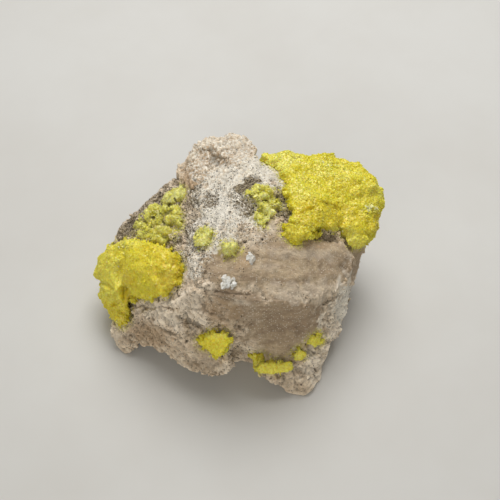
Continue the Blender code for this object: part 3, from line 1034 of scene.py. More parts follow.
def spread(obj: Object, count: int, pick: Chance) -> tuple[Array, Array]:
    """Random places on an object, as many to each patch of its surface as its area asks for.

    Args:
        obj: The object.
        count: How many places.
        pick: The source of chance.

    Returns:
        The places and the normals there.
    """
    mesh = obj.data
    mesh.calc_loop_triangles()
    corners = np.empty(len(mesh.loop_triangles) * 3, dtype=np.int32)
    mesh.loop_triangles.foreach_get("vertices", corners)
    corners = corners.reshape(-1, 3)
    points, normals = Bench.surface(obj)
    sides = points[corners]
    area = np.linalg.norm(np.cross(sides[:, 1] - sides[:, 0], sides[:, 2] - sides[:, 0]), axis=1)
    chosen = pick.choice(len(corners), size=count, p=area / area.sum())
    first, second = pick.uniform(size=(2, count))
    flip = first + second > 1
    first[flip], second[flip] = 1 - first[flip], 1 - second[flip]
    weights = np.stack([1 - first - second, first, second], axis=1)
    spots = np.einsum("nk,nkj->nj", weights, sides[chosen])
    facing = np.einsum("nk,nkj->nj", weights, normals[corners[chosen]])
    return spots, facing / np.linalg.norm(facing, axis=1, keepdims=True)


def thinned(spots: Array, spacing: float) -> Array:
    """The numbers of the places to keep so that each box of this width holds no more than one."""
    boxes = np.floor(spots / spacing).astype(int)
    return np.sort(np.unique(boxes, axis=0, return_index=True)[1])


# ---------------------------------------------------------------- the stone
@dataclass
class Stone:
    """The lump of stone: its skin, its zones and its crumbs."""

    node: str = "matrix"
    slot: str = "stone"
    skin: float = 0.27 * MM
    wear: int = 14
    triangles: int = 192000
    crumbs: int = 9400
    crumb_sizes: Pair = (0.28, 1.15)
    stain_reach: float = 1.5 * MM
    seed: int = 5
    # Its relief: heights and widths, in millimetres.
    blocks: Pair = (0.7, 2.3)
    grains: Pair = (0.36, 0.95)
    grit: Pair = (0.12, 0.7)
    swells: Pair = (0.75, 4.6)
    waves: Pair = (0.36, 2.6)
    pits: Pair = (0.9, 2.0)
    ledges: Pair = (0.5, 1.7)
    bedding: tuple[float, float, float] = (0.25, -0.35, 0.9)  # the direction across the ledges
    let_in: float = 0.35  # how far the whole skin is let in
    foot: Pair = (0.2 * MM, 1.5 * MM)  # the height where the relief begins and where it is full
    # Zones of the show face: (right, up, half length, half width, turn, strength).
    calm_rows: Patches = (
        (12, -4.5, 16, 9.5, 5, 1), (-3, -4, 10, 6.5, -10, 0.95), (9, -18.5, 10.5, 8.5, 5, 1),
        (-3, -14, 9.5, 5, -10, 0.8), (22, -2, 8, 7, 0, 0.9), (-9.5, -27, 4, 3.5, 0, 0.5),
    )
    # White powder; the row at (23, -13) is painted light on the right rim.
    powder_rows: Patches = (
        (-4, 13, 9.5, 8, 0, 0.78), (-7, 22, 10, 6.5, 10, 0.52), (3, 19, 6.5, 3.5, -20, 0.8),
        (-8.2, 9.8, 3.6, 4.4, 20, 1.3), (23, -13, 2.5, 5, -15, 1), (-9, 4, 7, 5.5, 20, 0.7),
        (-14, -3.5, 3, 4.5, 0, 0.6), (-1, 3.5, 6, 3, 0, 0.3),
    )
    dark_rows: Patches = (
        (-0.7, 15.6, 2.8, 1.7, 15, 1), (7.6, 10.5, 2.3, 4, 20, 0.85), (0, 11.5, 2.5, 3.5, 30, 0.7),
        (-3.6, 12, 1.8, 3, 20, 0.4), (-9.5, 11.5, 2.2, 2, 0, 0.7), (-14.3, 4.5, 2, 7, 0, 0.5),
        (-15, 13, 3, 3.5, 30, 0.6), (-24, 10.5, 8.5, 4.2, 42, 0.6), (-29, 4.5, 3.5, 2.5, 30, 0.8),
        (-22, 2, 6, 1.8, 0, 0.8), (-29.3, -12, 1.2, 3.6, 8, 0.95), (18, 3.8, 3.4, 1.8, -10, 0.45),
        (10.5, 7.8, 3.2, 1.6, 0, 0.7),
    )
    # Warm brown patches, partly painted shade: under the right crust's lower edge (13, 1.2), on the
    # lower-left foot (-24.5, -20.5) and in the knob's hollow (-8.3, 22.2).
    warm_and_shade_rows: Patches = (
        (-8.3, 22.2, 4.4, 2.4, -20, 0.8), (-14, 18, 2.6, 4.6, -8, 0.85), (-5, -1.2, 6.5, 1.6, -8, 0.6),
        (13, 1.2, 7.5, 1.3, 0, 0.55), (-2, -3, 2.6, 1.6, 0, 0.6), (-10, 16.5, 4.5, 2.5, -20, 0.6),
        (0.3, 6.5, 3.6, 2.2, 0, 0.5), (-24.5, -20.5, 5.5, 2.6, -20, 0.7),
        (-7.2, -14.8, 4.4, 3.2, -12, 0.75), (-6.2, 23.2, 2.6, 1.4, 0, 0.6),
    )
    # Pale patches: pale crumbly stone, and painted light on the right rim (22.6, -15.5) and the lower right
    # corner (17, -27), which turn from the lamps.
    pale_rows: Patches = (
        (-20, -14.5, 7, 3.5, -25, 0.75), (-12.5, -17, 5.5, 2.4, -18, 0.7),
        (-16.5, -11, 4.5, 1.6, -5, 0.65), (13, -10, 9, 2.6, -3, 0.3), (20.5, -9.4, 4, 1.8, 25, 0.3),
        (-32.5, -17.5, 3, 4, 30, 0.4), (22.6, -15.5, 4.2, 9, -15, 0.95), (17, -27, 5, 5, 0, 0.9),
        (-16, -14, 9, 4, -18, 0.7), (-4.5, -28.5, 3, 1.8, 0, 0.5), (12.5, -0.5, 9, 1.6, -4, 0.25),
        (-10, -8.7, 2.4, 0.9, 0, 0.6), (4, -4, 4, 1.2, 0, 0.2), (-6, -15.6, 1.3, 1.2, 0, 0.9),
        (-0.2, -24, 2.2, 0.9, -20, 0.6), (-9.5, -12.5, 1.6, 0.9, 0, 0.5), (-1.5, -12.8, 3, 0.7, -10, 0.4),
    )
    # Patches of painted shade on the worn stone, broadest over the scoop on the front; some rows also darken
    # streaks in the stone itself.
    shade_rows: Patches = (
        (9.5, -17, 11, 6.5, 8, 0.35), (11, -16.5, 8, 4.2, 8, 0.6), (-3.5, -10.8, 8, 1.6, -8, 0.65),
        (0, -15, 7, 3.5, -10, 0.5), (-7.5, -14.5, 4.5, 3.2, -12, 0.6), (-9, -5.5, 3.5, 2.2, 0, 0.4),
        (-9, -28, 4, 2.5, -20, 0.45), (20, -3.5, 5, 3, 10, 0.3), (9.5, -7.6, 5, 0.9, 0, 0.5),
        (24, -4.5, 3, 3, 0, 0.4), (2, -7.2, 4, 0.8, -5, 0.35),
    )
    lip_rows: Patches = (
        (-18.5, -12.2, 6, 1.4, -18, 0.7), (-11.5, -16, 6, 1.2, -20, 0.9), (-23.5, -17, 4.5, 1.1, -25, 0.6),
        (-30, -17.5, 2.5, 3, 20, 0.5), (21.5, -9.6, 3.6, 0.9, 33, 0.5), (-13, -23.5, 3.5, 1, -25, 0.5),
        (12, -9.8, 9.5, 2, -4, 0.45), (-9.5, -8, 1.6, 1.6, 0, 0.4),
    )
    crack_rows: Patches = (
        (20.2, -11.6, 3.2, 0.4, 36, 1.1), (-29.2, -12.2, 0.5, 3.5, 8, 1), (-13, -17.6, 4.6, 0.6, -20, 0.5),
        (-21, -19.2, 5, 0.6, -27, 1), (-18.5, -14.4, 2.4, 0.5, -12, 0.9), (-22.5, -11.6, 1, 0.6, 0, 1),
        (-9.4, 22.6, 3, 1.8, -20, 0.8), (18.4, 3.4, 3.2, 0.8, -12, 0.7),
        (-4.6, -10.4, 4.2, 0.35, -4, 0.35), (14, -28.2, 3, 0.5, -18, 0.7),
        (-26, -13.6, 2.6, 0.5, -10, 0.5), (-6, -12, 2.5, 0.3, -15, 0.3),
    )
    speckled_rows: Patches = (
        (-4, 9, 11, 9, 0, 0.25), (-14, 3, 5, 8, 0, 0.45), (-12, -4.5, 3.4, 4, 0, 0.26),
        (5, 17, 6, 4, 0, 0.14), (-24, 8, 10, 8, 0, 0.3), (-8, 12.5, 5, 2.5, 0, 0.4),
        (2, 14.5, 5, 2, -10, 0.35), (2, 24, 3, 2, 0, 0.06), (-4, 3, 7, 3, 0, 0.28),
    )

    def build(self) -> Object:
        """Makes the stone's skin from its solid.

        Returns:
            The skin.
        """
        stone = Bench.copy_of(self.node, "stone_skin")
        Bench.reskin(stone, self.skin, self.wear)
        self.roughen(stone)
        share = self.triangles / (2 * len(stone.data.polygons))
        Bench.apply(stone, "DECIMATE", ratio=min(share, 1.0))
        return stone

    def zones(self, points: Array, normals: Array) -> dict[str, Array]:
        """The strength of each zone at places on the stone.

        Args:
            points: The places.
            normals: The normals there.

        Returns:
            One array for each zone, by name.
        """
        marks = SHOW.marks(points)
        shown = smooth_step(SHOW.facing(normals), -0.05, 0.25)
        ragged = cloud(points, 2.2, 4, 1.0)
        broad = cloud(points, 9.0, 2, 7.0)
        found = {}
        for name in ("calm", "powder", "dark", "warm_and_shade", "pale", "shade", "speckled"):
            share = 0.8 if name in ("dark", "speckled", "pale") else 0.45
            found[name] = patches(marks, getattr(self, f"{name}_rows"), share * ragged) * shown
        hidden = 1 - shown
        found["powder"] += hidden * smooth_step(broad, 0.1, 0.5) * 0.8
        found["dark"] += hidden * smooth_step(broad, -0.2, -0.55) * 0.6
        found["pale"] += hidden * smooth_step(cloud(points, 6.0, 2, 3.0), 0.1, 0.5) * 0.5
        found["speckled"] += hidden * 0.1
        found["calm"] *= 1 - 0.85 * found["pale"] * (marks[:, 1] < -10)
        return found

    def roughen(self, stone: Object) -> None:
        """Breaks the skin up: crumbly where it is broken, calm where it is worn, with cracks.

        Args:
            stone: The skin.
        """
        points, normals = Bench.surface(stone)
        zones = self.zones(points, normals)
        marks = SHOW.marks(points)
        calm = zones["calm"]
        rough = (1 - calm) * (1 - 0.35 * zones["powder"])
        soft = 1 - 0.5 * zones["powder"]
        steps = points @ np.array(self.bedding) / (self.ledges[1] * MM) + cloud(points, 5.0, 2, 11.0) * 1.2
        ledges = np.abs((steps % 1.0) - 0.5) * 2 - 0.5
        blocks = self.blocks[0] * crumbs_of(points, self.blocks[1], 2.0) * rough * soft
        crumbs = self.grains[0] * crumbs_of(points, self.grains[1], 4.0) * (0.15 + 0.85 * rough) * soft
        fine = self.grit[0] * cloud(points, self.grit[1], 2, 9.0) * (0.5 + 0.5 * rough)
        broad = self.swells[0] * cloud(points, self.swells[1], 3, 5.0) * (0.4 + 0.6 * rough)
        broad += self.ledges[0] * ledges * rough**2
        waves = self.waves[0] * cloud(points * np.array((0.6, 1, 1)), self.waves[1], 3, 6.0) * calm
        lips = patches(marks, self.lip_rows, cloud(points, 1.6, 2, 13.0) * 0.4) * (0.4 + 0.6 * rough)
        pits = -self.pits[0] * smooth_step(cells(points, self.pits[1], 8.0), 0.3, 0.08)
        pits *= smooth_step(rough, 0.4, 0.8)
        cracks = patches(marks, self.crack_rows, cloud(points, 1.4, 3, 17.0) * 0.9)
        cracks *= smooth_step(SHOW.facing(normals), 0.0, 0.2)
        uneven = 0.45 + 0.75 * smooth_step(cloud(points, 6.0, 2, 21.0), -0.3, 0.35)
        height = (blocks + crumbs + pits) * uneven + fine + broad + waves + lips - cracks - self.let_in
        height *= smooth_step(points[:, 2], *self.foot)
        Bench.place(stone, points + normals * (height * MM)[:, None])
        Bench.mark_hollows(stone, 0.55)

    def store(self, obj: Object, places: Array, zones: dict[str, Array], sulfur: BVHTree) -> None:
        """Stores each zone's strength on the skin or the crumbs, and the stain of the sulfur beside it.

        Args:
            obj: The skin or the crumbs.
            places: Where the zones were looked up, spread evenly over the vertices.
            zones: The zones' strengths there.
            sulfur: The beds of sulfur.
        """
        away = nearest(sulfur, places)[2] + cloud(places, 1.0, 2, 2.0) * 0.5 * MM
        Bench.mark(obj, stain=smooth_step(away, self.stain_reach, 0.0))
        Bench.mark(obj, **{name: np.clip(values, 0, 1) for name, values in zones.items()})

    def dress_skin(self, skin: Object, sulfur: BVHTree) -> None:
        """Stores the zones on the skin."""
        points, normals = Bench.surface(skin)
        self.store(skin, points, self.zones(points, normals), sulfur)

    def add_crumbs(self, stone: Object, sulfur: BVHTree) -> Object:
        """Scatters crumbs over the broken faces, coloured as the stone is where they lie.

        Args:
            stone: The skin.
            sulfur: The beds of sulfur.

        Returns:
            The crumbs.
        """
        pick = np.random.default_rng(self.seed)
        spots, normals = spread(stone, self.crumbs * 3, pick)
        zones = self.zones(spots, normals)
        wanted = (1 - 0.95 * zones["calm"]) * (1 - 0.5 * zones["powder"])
        wanted *= smooth_step(spots[:, 2], 0.5 * MM, 1.5 * MM)
        kept = np.flatnonzero(pick.uniform(size=len(spots)) < wanted)[: self.crumbs]
        spots, normals = spots[kept], normals[kept]
        low, high = self.crumb_sizes
        sizes = (low + (high - low) * pick.uniform(size=len(kept)) ** 2.5) * MM
        middles = spots - normals * sizes[:, None] * 0.12
        crumbs = scatter("stone_crumbs", Grain.CHIP, middles, normals, sizes, 80, 0.4, pick)
        zones = {name: values[kept] for name, values in zones.items()}
        zones["cavity"] = pick.uniform(0.45, 1.0, len(kept))
        self.store(crumbs, spots, zones, sulfur)
        return crumbs


# ---------------------------------------------------------------- the sulfur
@dataclass(frozen=True)
class Growth:
    """One sort of crystal on a bed."""

    grain: Grain
    lengths: Pair  # least and most, in millimetres
    spacing: float
    sunk: float  # how deep a crystal's middle lies, in its lengths
    tonal: float  # how much the crystals differ in tone


@dataclass
class SulfurPatch:
    """One patch of sulfur: a lumpy bed grown over with crystals of two sizes."""

    node: str
    finish: SulfurFinish = LEMON
    large: Growth = Growth(Grain.TIPPED, (0.6, 1.0), 1.3, 0.28, 0.15)
    small: Growth = Growth(Grain.POINTED, (0.32, 0.55), 0.42, 0.1, 0.12)
    skin: float = 0.26 * MM
    wear: int = 60
    seed: int = 1
    outline: Outline = ()
    knobs: tuple[float, float, float] = (3.0, 0.5, 0.0)  # their spacing, height and lift, in millimetres
    gaps: float = 0.0  # how far the stone shows between the knobs, 1 where the bed sinks out of sight
    golden_rows: Patches = ()
    pale_rows: Patches = ()
    crease_rows: Patches = ()
    sparkle_rows: Patches = ()
    root_reach: float = 0.75 * MM  # how near the stone a face counts as resting on it
    root_depth: float = 0.9 * MM  # how far such a face is let into the stone
    stone_clear: float = 0.3 * MM  # how near the stone no crystal grows

    def make_bed(self, ground: BVHTree) -> Object:
        """Makes the bed from its solid.

        Args:
            ground: The stone's skin.

        Returns:
            The bed.
        """
        bed = Bench.copy_of(self.node, f"{self.node}_bed")
        Bench.reskin(bed, self.skin, self.wear)
        if self.outline:
            points = Bench.read(bed, "co")
            inset = np.maximum(0.4 + 0.5 * cloud(points, 1.8, 2, 31.0), 0.05)
            shift = pulled_in(SHOW.marks(points), self.outline, inset) * MM
            Bench.place(bed, points + shift @ np.array((SHOW.right, SHOW.up)))
            Bench.apply(bed, "SMOOTH", iterations=6, factor=0.5)
        self.roughen(bed, self.root(bed, ground))
        if self.gaps:
            self.part_knobs(bed, ground)
        return bed

    def root(self, bed: Object, ground: BVHTree) -> Array:
        """Lets the underside of the bed into the stone, so that no gap shows.

        Args:
            bed: The bed.
            ground: The stone's skin.

        Returns:
            For each vertex, 1 in the open air and 0 against the stone.
        """
        points, normals = Bench.surface(bed)
        _, slopes, away = nearest(ground, points)
        against = (np.einsum("ij,ij->i", slopes, normals) < -0.2) & (away < self.root_reach)
        Bench.place(bed, points + normals * (against * self.root_depth)[:, None])
        return 1.0 - against

    def roughen(self, bed: Object, open_air: Array) -> None:
        """Gives the bed its sugary lumps.

        Args:
            bed: The bed.
            open_air: 1 where the bed is open to the air.
        """
        points, normals = Bench.surface(bed)
        spacing, swell, lift = self.knobs
        lumps = swell * (0.5 - cells(points, spacing, 3.0 + self.seed))
        lumps += 0.4 * cloud(points, 5.0, 3, self.seed)
        grit = 0.28 * crumbs_of(points, 0.9, 6.0 + self.seed)
        creases = patches(SHOW.marks(points), self.crease_rows)
        creases *= smooth_step(SHOW.facing(normals), -0.4, 0.0)
        height = (lumps + grit - creases + lift) * open_air
        Bench.place(bed, points + normals * (height * MM)[:, None])
        Bench.mark_hollows(bed, 0.6)
        Bench.mark(bed, tone=np.full(len(points), 0.45))
        self.store_tints(bed, points)

    def part_knobs(self, bed: Object, ground: BVHTree) -> None:
        """Sinks the bed into the stone between its knobs.

        Args:
            bed: The bed.
            ground: The stone's skin.
        """
        points = Bench.read(bed, "co")
        seats, slopes, away = nearest(ground, points)
        outside = np.einsum("ij,ij->i", points - seats, slopes) > 0
        between = smooth_step(cells(points, self.knobs[0], 3.0 + self.seed), 0.46, 0.6)
        sink = self.gaps * between * outside * (1 + 0.3 * MM / np.maximum(away, MM))
        Bench.place(bed, points + (seats - points) * sink[:, None])

    def store_tints(self, obj: Object, spots: Array) -> None:
        """Stores where the patch is golden, in places painted shade, and where it is pale, in places painted
        light.

        Args:
            obj: The bed or its crystals.
            spots: The places where the tints are looked up, spread evenly over the vertices.
        """
        marks, ragged = SHOW.marks(spots), cloud(spots, 2.0, 2, 4.0) * 0.4
        golden, pale = (patches(marks, rows, ragged) for rows in (self.golden_rows, self.pale_rows))
        Bench.mark(obj, golden=golden, pale=pale)

    def grow(self, bed: Object, ground: BVHTree) -> Object:
        """Sets crystals of both sizes all over the open side of the bed.

        Args:
            bed: The bed.
            ground: The stone's skin.

        Returns:
            The crystals, as one mesh.
        """
        pick = np.random.default_rng(self.seed)
        area = sum(face.area for face in bed.data.polygons)
        grown = []
        for sort in (self.large, self.small):
            spacing = sort.spacing * MM
            spots, normals = spread(bed, int(3 * area / spacing**2), pick)
            kept = thinned(spots, spacing)
            kept = kept[nearest(ground, spots[kept])[2] > self.stone_clear]
            spots, normals = spots[kept], normals[kept]
            sparkle = patches(SHOW.marks(spots), self.sparkle_rows)
            sizes = pick.uniform(*sort.lengths, len(spots)) * (1 + 0.9 * sparkle) * MM
            middles = spots - normals * (sizes * sort.sunk * (1 - 0.7 * sparkle))[:, None]
            name = f"{self.node}_{sort.grain.name.lower()}"
            crystals = scatter(name, sort.grain, middles, normals, sizes, 55, 0.25, pick)
            tones = np.clip(pick.normal(0.5 + 0.3 * sparkle, sort.tonal), 0, 1)
            Bench.mark(crystals, tone=tones, cavity=pick.uniform(0.4, 0.9, len(spots)))
            self.store_tints(crystals, spots)
            grown.append(crystals)
        crystals = Bench.join(*grown)
        crystals.name = f"{self.node}_crystals"
        return crystals


@dataclass
class SmallPatch(SulfurPatch):
    """A knob, a bead or a cluster, whose solid keeps more of its shape."""

    finish: SulfurFinish = PALE
    wear: int = 30


@dataclass
class FrontPatch(SmallPatch):
    """A spot of sulfur on the lower front, with finer crystals and a lighter finish that paints light on this
    shaded side.
    """

    finish: SulfurFinish = LIT_LEMON
    large: Growth = Growth(Grain.TIPPED, (0.45, 0.7), 1.3, 0.28, 0.15)
    small: Growth = Growth(Grain.POINTED, (0.25, 0.42), 0.42, 0.1, 0.12)


KNOBBY = (2.1, 1.7, -0.1)  # the knobs' spacing, height and lift where a patch is all knobs
PATCHES = (
    SulfurPatch(
        "sulfur_crust_right", seed=11,
        outline=(
            (2, 24), (7.5, 24), (15.5, 23), (20.5, 23.5), (24.5, 21.5), (30, 18.5), (33.5, 15.5),
            (32.5, 12), (32.5, 9), (31.5, 6), (29.5, 3), (26.5, 0), (22.5, 0.2), (21.5, 5), (16, 5.5),
            (15.5, 3), (10, 1.6), (7.7, 4.5), (8.2, 6.5), (10, 9), (8.6, 13), (8.6, 16), (7, 19),
            (5, 20.2), (2, 21.2),
        ),
        # Golden patches; the one at (13.8, 9.2) is painted shade in a hollow of the crust.
        golden_rows=(
            (21, 8.5, 8, 3, -5, 0.8), (25, 15, 6, 2, -20, 0.3), (30.5, 6.5, 1.6, 3, 0, 1),
            (12, 4, 4, 2.5, 0, 0.3), (13.8, 9.2, 3.6, 3.4, 0, 0.75),
        ),
        # Pale patches; the one on the upper-left tip (5.5, 21.4) is painted light on a lump that lies in
        # shade.
        pale_rows=(
            (22, 4.8, 3.6, 0.8, 0, 0.9), (24, 2, 3.4, 2.2, 0, 0.8), (5.5, 21.4, 6, 3.4, 0, 1.2),
            (13, 15, 4, 3, 0, 0.5), (20, 19, 7, 2, -10, 0.4), (30, 13.5, 3, 3, 0, 0.4),
        ),
        crease_rows=(
            (13.5, 9.6, 2.8, 0.45, 22, 0.7), (11.8, 12.2, 2.4, 1.6, 0, 0.5), (11, 6.4, 3.2, 0.4, -12, 0.5),
            (15.2, 4.1, 0.45, 0.45, 0, 1.8), (19.5, 10.6, 3.5, 0.6, -20, 0.4),
            (17.5, 17, 5, 0.8, -35, 0.3),
        ),
        sparkle_rows=((28.8, 10, 2, 1.2, 0, 1), (19.5, 20.5, 2.2, 0.8, -20, 0.6)),
    ),
    SulfurPatch(
        "sulfur_crust_left", GOLDEN, seed=12,
        outline=(
            (-38.6, -5.5), (-37.8, -2.6), (-35.4, -0.8), (-33.2, 1.8), (-29, 2.4), (-26, 2), (-22, 1.2),
            (-19, 0), (-17.3, -2), (-16.4, -4.5), (-16.8, -7), (-18, -9.6), (-21.5, -10.8), (-23, -12.4),
            (-27, -11.8), (-28.4, -13.5), (-28.6, -18.4), (-30.8, -18.8), (-34, -15), (-36.4, -10.8),
        ),
        # Golden patches; the one at (-31.5, -15) is painted shade on the lower lobe.
        golden_rows=(
            (-19.5, -4.5, 4.5, 5, 0, 0.5), (-22, -0.5, 5, 1.5, -10, 0.5), (-29.5, -9, 1, 4, 0, 0.6),
            (-31.5, -15, 3, 3, 0, 0.3),
        ),
        sparkle_rows=((-31.8, -3.5, 0.9, 1.8, 0, 0.7), (-30.5, 1, 1.6, 0.8, 0, 0.6)),
        pale_rows=(
            (-34.5, -6, 3.8, 7.5, 20, 0.9), (-30, 1.6, 5, 1.6, 10, 0.8), (-31.9, -3.4, 0.8, 2, 0, 0.9),
        ),
        crease_rows=(
            (-30.4, -10.2, 1, 2.4, 12, 2.2), (-32.6, -13, 1.6, 0.6, 30, 0.9),
            (-30.6, -15.2, 1.4, 0.5, -20, 0.8), (-31.2, -5, 0.8, 4, -12, 1),
            (-27.5, -12, 2.4, 0.6, -20, 0.5), (-34.5, -8.5, 2.4, 0.6, -30, 0.5),
            (-34.5, -2.5, 2.4, 0.5, 30, 0.4),
        ),
    ),
    SmallPatch(
        "sulfur_cluster_upper_left", seed=13, knobs=KNOBBY, gaps=1.0,
        crease_rows=(
            (-22.5, 8.2, 2.6, 0.8, 60, 1), (-19.4, 5.8, 0.6, 2.6, 0, 1), (-25.5, 5.5, 1.6, 0.7, 20, 1),
        ),
    ),
    SmallPatch("sulfur_cap_upper_left", seed=14, pale_rows=((-17.6, 13.4, 4, 3.5, 0, 0.9),)),
    SmallPatch(
        "sulfur_cluster_centre", seed=15, knobs=KNOBBY, gaps=0.8,
        crease_rows=((3.6, 12, 2.8, 0.7, 10, 1),),
        pale_rows=((5.6, 8.8, 2.4, 2.8, 0, 0.8), (2.5, 13, 2, 1, 0, 0.5)),
    ),
    SmallPatch(
        "sulfur_bead_upper", seed=16,
        pale_rows=((-11.5, 3, 3, 3, 0, 0.7),),
        outline=((-13, 4.3), (-11.5, 5.3), (-10, 4.8), (-9.4, 3), (-11, 0.8), (-12.5, 0.2), (-13.6, 1.5)),
    ),
    SmallPatch(
        "sulfur_bead_lower", seed=17,
        pale_rows=((-4.8, 0.4, 3, 3, 0, 0.7),),
        outline=((-6.6, 0.5), (-5.5, 1.9), (-3, 1.9), (-2.8, 0.5), (-5, -1.5), (-6.6, -0.5)),
    ),
    FrontPatch(
        "sulfur_wedge_front", seed=18,
        pale_rows=((-8, -20.4, 4, 0.8, 0, 0.8),),
        outline=(
            (-13.2, -21.4), (-12.2, -20.6), (-9, -20.1), (-6, -20.1), (-3.6, -20.9), (-4.2, -22.3),
            (-6.9, -25), (-8.2, -26), (-9.6, -24.8), (-12, -22.8),
        ),
    ),
    FrontPatch(
        "sulfur_strip_front", seed=19,
        pale_rows=((4.5, -27.5, 9, 4, 0, 0.7),),
        outline=(
            (-0.4, -24.9), (1.8, -25.1), (4.4, -26.4), (7.2, -27.2), (9.9, -26.6), (10.1, -28.3),
            (8.6, -29.4), (4.8, -29.8), (1.5, -29), (0, -27.4),
        ),
    ),
    FrontPatch("sulfur_spot_front", seed=20, pale_rows=((12, -25, 3, 3, 0, 0.8),)),
    FrontPatch("sulfur_spot_right", seed=21, pale_rows=((15.6, -21.6, 3, 3, 0, 0.7),)),
)


@dataclass
class SulfurDust:
    """Loose grains of sulfur on the stone, thickest beside the patches."""

    finish: SulfurFinish = PALE
    grains: int = 3600
    sizes: Pair = (0.16, 0.36)
    reach: float = 1.7 * MM
    seed: int = 41

    def build(self, stone: Object, sulfur: BVHTree) -> Object:
        """Scatters the grains.

        Args:
            stone: The stone's skin.
            sulfur: The beds of sulfur.

        Returns:
            The grains, as one mesh.
        """
        pick = np.random.default_rng(self.seed)
        spots, normals = spread(stone, self.grains * 16, pick)
        away = nearest(sulfur, spots)[2]
        chance = smooth_step(away, self.reach, 0.0) ** 2 * (away > 0.1 * MM)
        kept = np.flatnonzero(pick.uniform(size=len(spots)) < chance)[: self.grains]
        sizes = pick.uniform(*self.sizes, len(kept)) * MM
        dust = scatter("sulfur_dust", Grain.BLOCK, spots[kept], normals[kept], sizes, 80, 0.35, pick)
        Bench.mark(dust, tone=pick.uniform(0.2, 0.9, len(kept)), pale=pick.uniform(0, 0.6, len(kept)))
        Bench.mark(dust, cavity=np.full(len(kept), 0.7), golden=np.zeros(len(kept)))
        return dust


# ---------------------------------------------------------------- the clear crystals
@dataclass
class ClearCrystal:
    """One clear crystal with smaller ones grown through it."""

    node: str
    length: float  # along the show face, in millimetres
    width: float
    twins: int = 7
    seed: int = 1
    nudge: float = 0.0  # how far it is set to the right of its solid's middle, in millimetres
    slot: str = "clear_crystal"
    stand: float = 0.16  # how far its middle stands off the stone, in its widths
    shrunk: float = 0.9
    bevel: float = 0.08 * MM
    reach: tuple[float, float, float] = (0.24, 0.36, 0.14)  # of its twins, in its widths and length
    twin_sizes: Pair = (0.55, 0.85)  # in its widths

    def build(self, ground: BVHTree) -> Object:
        """Makes the crystal from its solid, sets it on the stone and its twins in it.

        Args:
            ground: The stone's skin.

        Returns:
            The crystal.
        """
        pick = np.random.default_rng(self.seed)
        crystal = Bench.copy_of(self.node, f"{self.node}_glass")
        points = Bench.read(crystal, "co")
        ray = (Vector(points.mean(axis=0)) + SHOW.right * self.nudge * MM - SHOW.eye).normalized()
        seat = np.array(ground.ray_cast(SHOW.eye, ray)[0])
        axes = np.array((SHOW.right, SHOW.up, SHOW.sight))
        middle = seat - axes[2] * self.width * self.stand * MM
        Bench.place(crystal, (points - points.mean(axis=0)) * self.shrunk + middle)
        Bench.apply(crystal, "BEVEL", width=self.bevel, segments=1, limit_method="ANGLE")
        reach = np.array((self.width, self.length, self.width)) * self.reach * MM
        spots = middle + (pick.uniform(-1, 1, (self.twins, 3)) * reach) @ axes
        normals = np.tile(axes[1], (self.twins, 1))
        sizes = pick.uniform(*self.twin_sizes, self.twins) * self.width * MM
        twins = scatter(f"{self.node}_twins", Grain.TIPPED, spots, normals, sizes, 30, 0.2, pick)
        Bench.join(crystal, twins)
        crystal.data.shade_flat()
        return crystal


CLEAR = (
    ClearCrystal("clear_crystal_upper", 3.8, 2.1, seed=3),
    ClearCrystal("clear_crystal_lower", 1.7, 2.6, seed=5),
    ClearCrystal("clear_crystal_small", 1.8, 2.0, twins=5, seed=6, nudge=-0.4),
)


# ---------------------------------------------------------------- table, light and camera
@dataclass(frozen=True)
class Lamp:
    """A soft square light that faces the lump."""

    name: str
    place: tuple[float, float, float]
    size: float
    power: float  # in watts
    colour: Colour = (1.0, 1.0, 1.0)

    def light(self) -> None:
        """Hangs the light."""
        lamp = bpy.data.lights.new(self.name, "AREA")
        lamp.color = self.colour
        lamp.size = self.size
        lamp.energy = self.power
        holder = Bench.hang(self.name, lamp)
        holder.location = self.place
        holder.rotation_euler = (-Vector(self.place)).to_track_quat("-Z", "Y").to_euler()


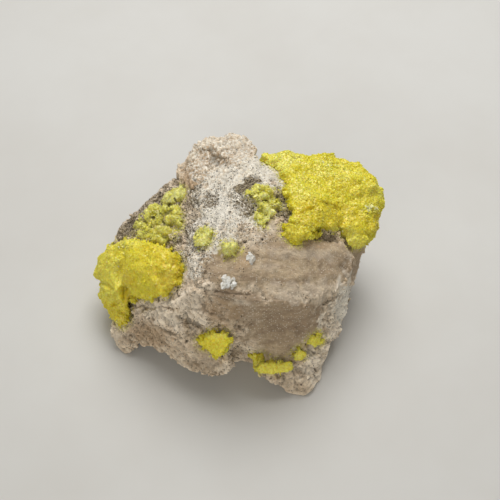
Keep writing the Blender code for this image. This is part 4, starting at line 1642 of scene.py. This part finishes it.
@dataclass
class Studio:
    """The table, the soft light and the camera."""

    table_size: float = 3.0
    lamps: tuple[Lamp, ...] = (
        Lamp("key", (0.022, 0.22, 0.42), 0.3, 1.9),
        Lamp("fill", (-0.25, -0.75, 0.5), 0.8, 2.6, (1.0, 0.97, 0.9)),
    )
    sky: float = 0.26
    sky_colour: Colour = tint(252, 249, 243)
    nearest_seen: float = 0.01

    def build(self) -> None:
        """Sets up the table, the lights, the sky and the camera."""
        self.lay_table()
        for lamp in self.lamps:
            lamp.light()
        world = bpy.data.worlds.new("sky")
        world.use_nodes = True
        ground = world.node_tree.nodes["Background"]
        ground.inputs["Color"].default_value = self.sky_colour
        ground.inputs["Strength"].default_value = self.sky
        bpy.context.scene.world = world
        bpy.context.scene.view_settings.view_transform = "Standard"
        self.set_camera()

    def lay_table(self) -> None:
        """Lays the table."""
        bpy.ops.object.select_all(action="DESELECT")
        bpy.ops.mesh.primitive_plane_add(size=self.table_size)
        table = bpy.context.active_object
        table.name = "table"
        table.data.materials.append(TableFinish().make())

    def set_camera(self) -> None:
        """Stands the camera where the show face is looked at from."""
        camera = bpy.data.cameras.new("camera")
        camera.lens = SHOW.lens
        camera.sensor_width = SHOW.sensor
        camera.clip_start = self.nearest_seen
        holder = Bench.hang("camera", camera)
        holder.location = SHOW.eye
        holder.rotation_euler = (math.pi / 2 - SHOW.tilt, 0, 0)
        bpy.context.scene.camera = holder


# ---------------------------------------------------------------- all of it
def settle(piece: Object, material: bpy.types.Material) -> None:
    """Dresses a piece and ties it to the lump.

    Args:
        piece: The piece.
        material: Its finish.
    """
    piece.data.materials.clear()
    piece.data.materials.append(material)
    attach(piece, BODY)
    LOG.info("%s: %d faces", piece.name, len(piece.data.polygons))


def main() -> None:
    """Builds the stone, the sulfur, the clear crystals and the studio."""
    logging.basicConfig(level=logging.INFO, format="%(name)s %(message)s")
    stone = Stone()
    skin = stone.build()
    ground = Bench.tree(skin)
    beds = [patch.make_bed(ground) for patch in PATCHES]
    sulfur = Bench.tree(*beds)
    stone.dress_skin(skin, sulfur)
    material = StoneFinish().make()
    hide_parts(stone.node)
    settle(skin, material)
    settle(stone.add_crumbs(skin, sulfur), material)
    finishes = {finish: finish.make() for finish in (LEMON, LIT_LEMON, GOLDEN, PALE)}
    for patch, bed in zip(PATCHES, beds):
        crystals = patch.grow(bed, ground)
        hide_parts(patch.node)
        settle(bed, finishes[patch.finish])
        settle(crystals, finishes[patch.finish])
    dust = SulfurDust()
    settle(dust.build(skin, sulfur), finishes[dust.finish])
    glass = ClearFinish().make()
    for clear in CLEAR:
        crystal = clear.build(ground)
        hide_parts(clear.node)
        settle(crystal, glass)
    Studio().build()


if __name__ == "__main__":
    main()
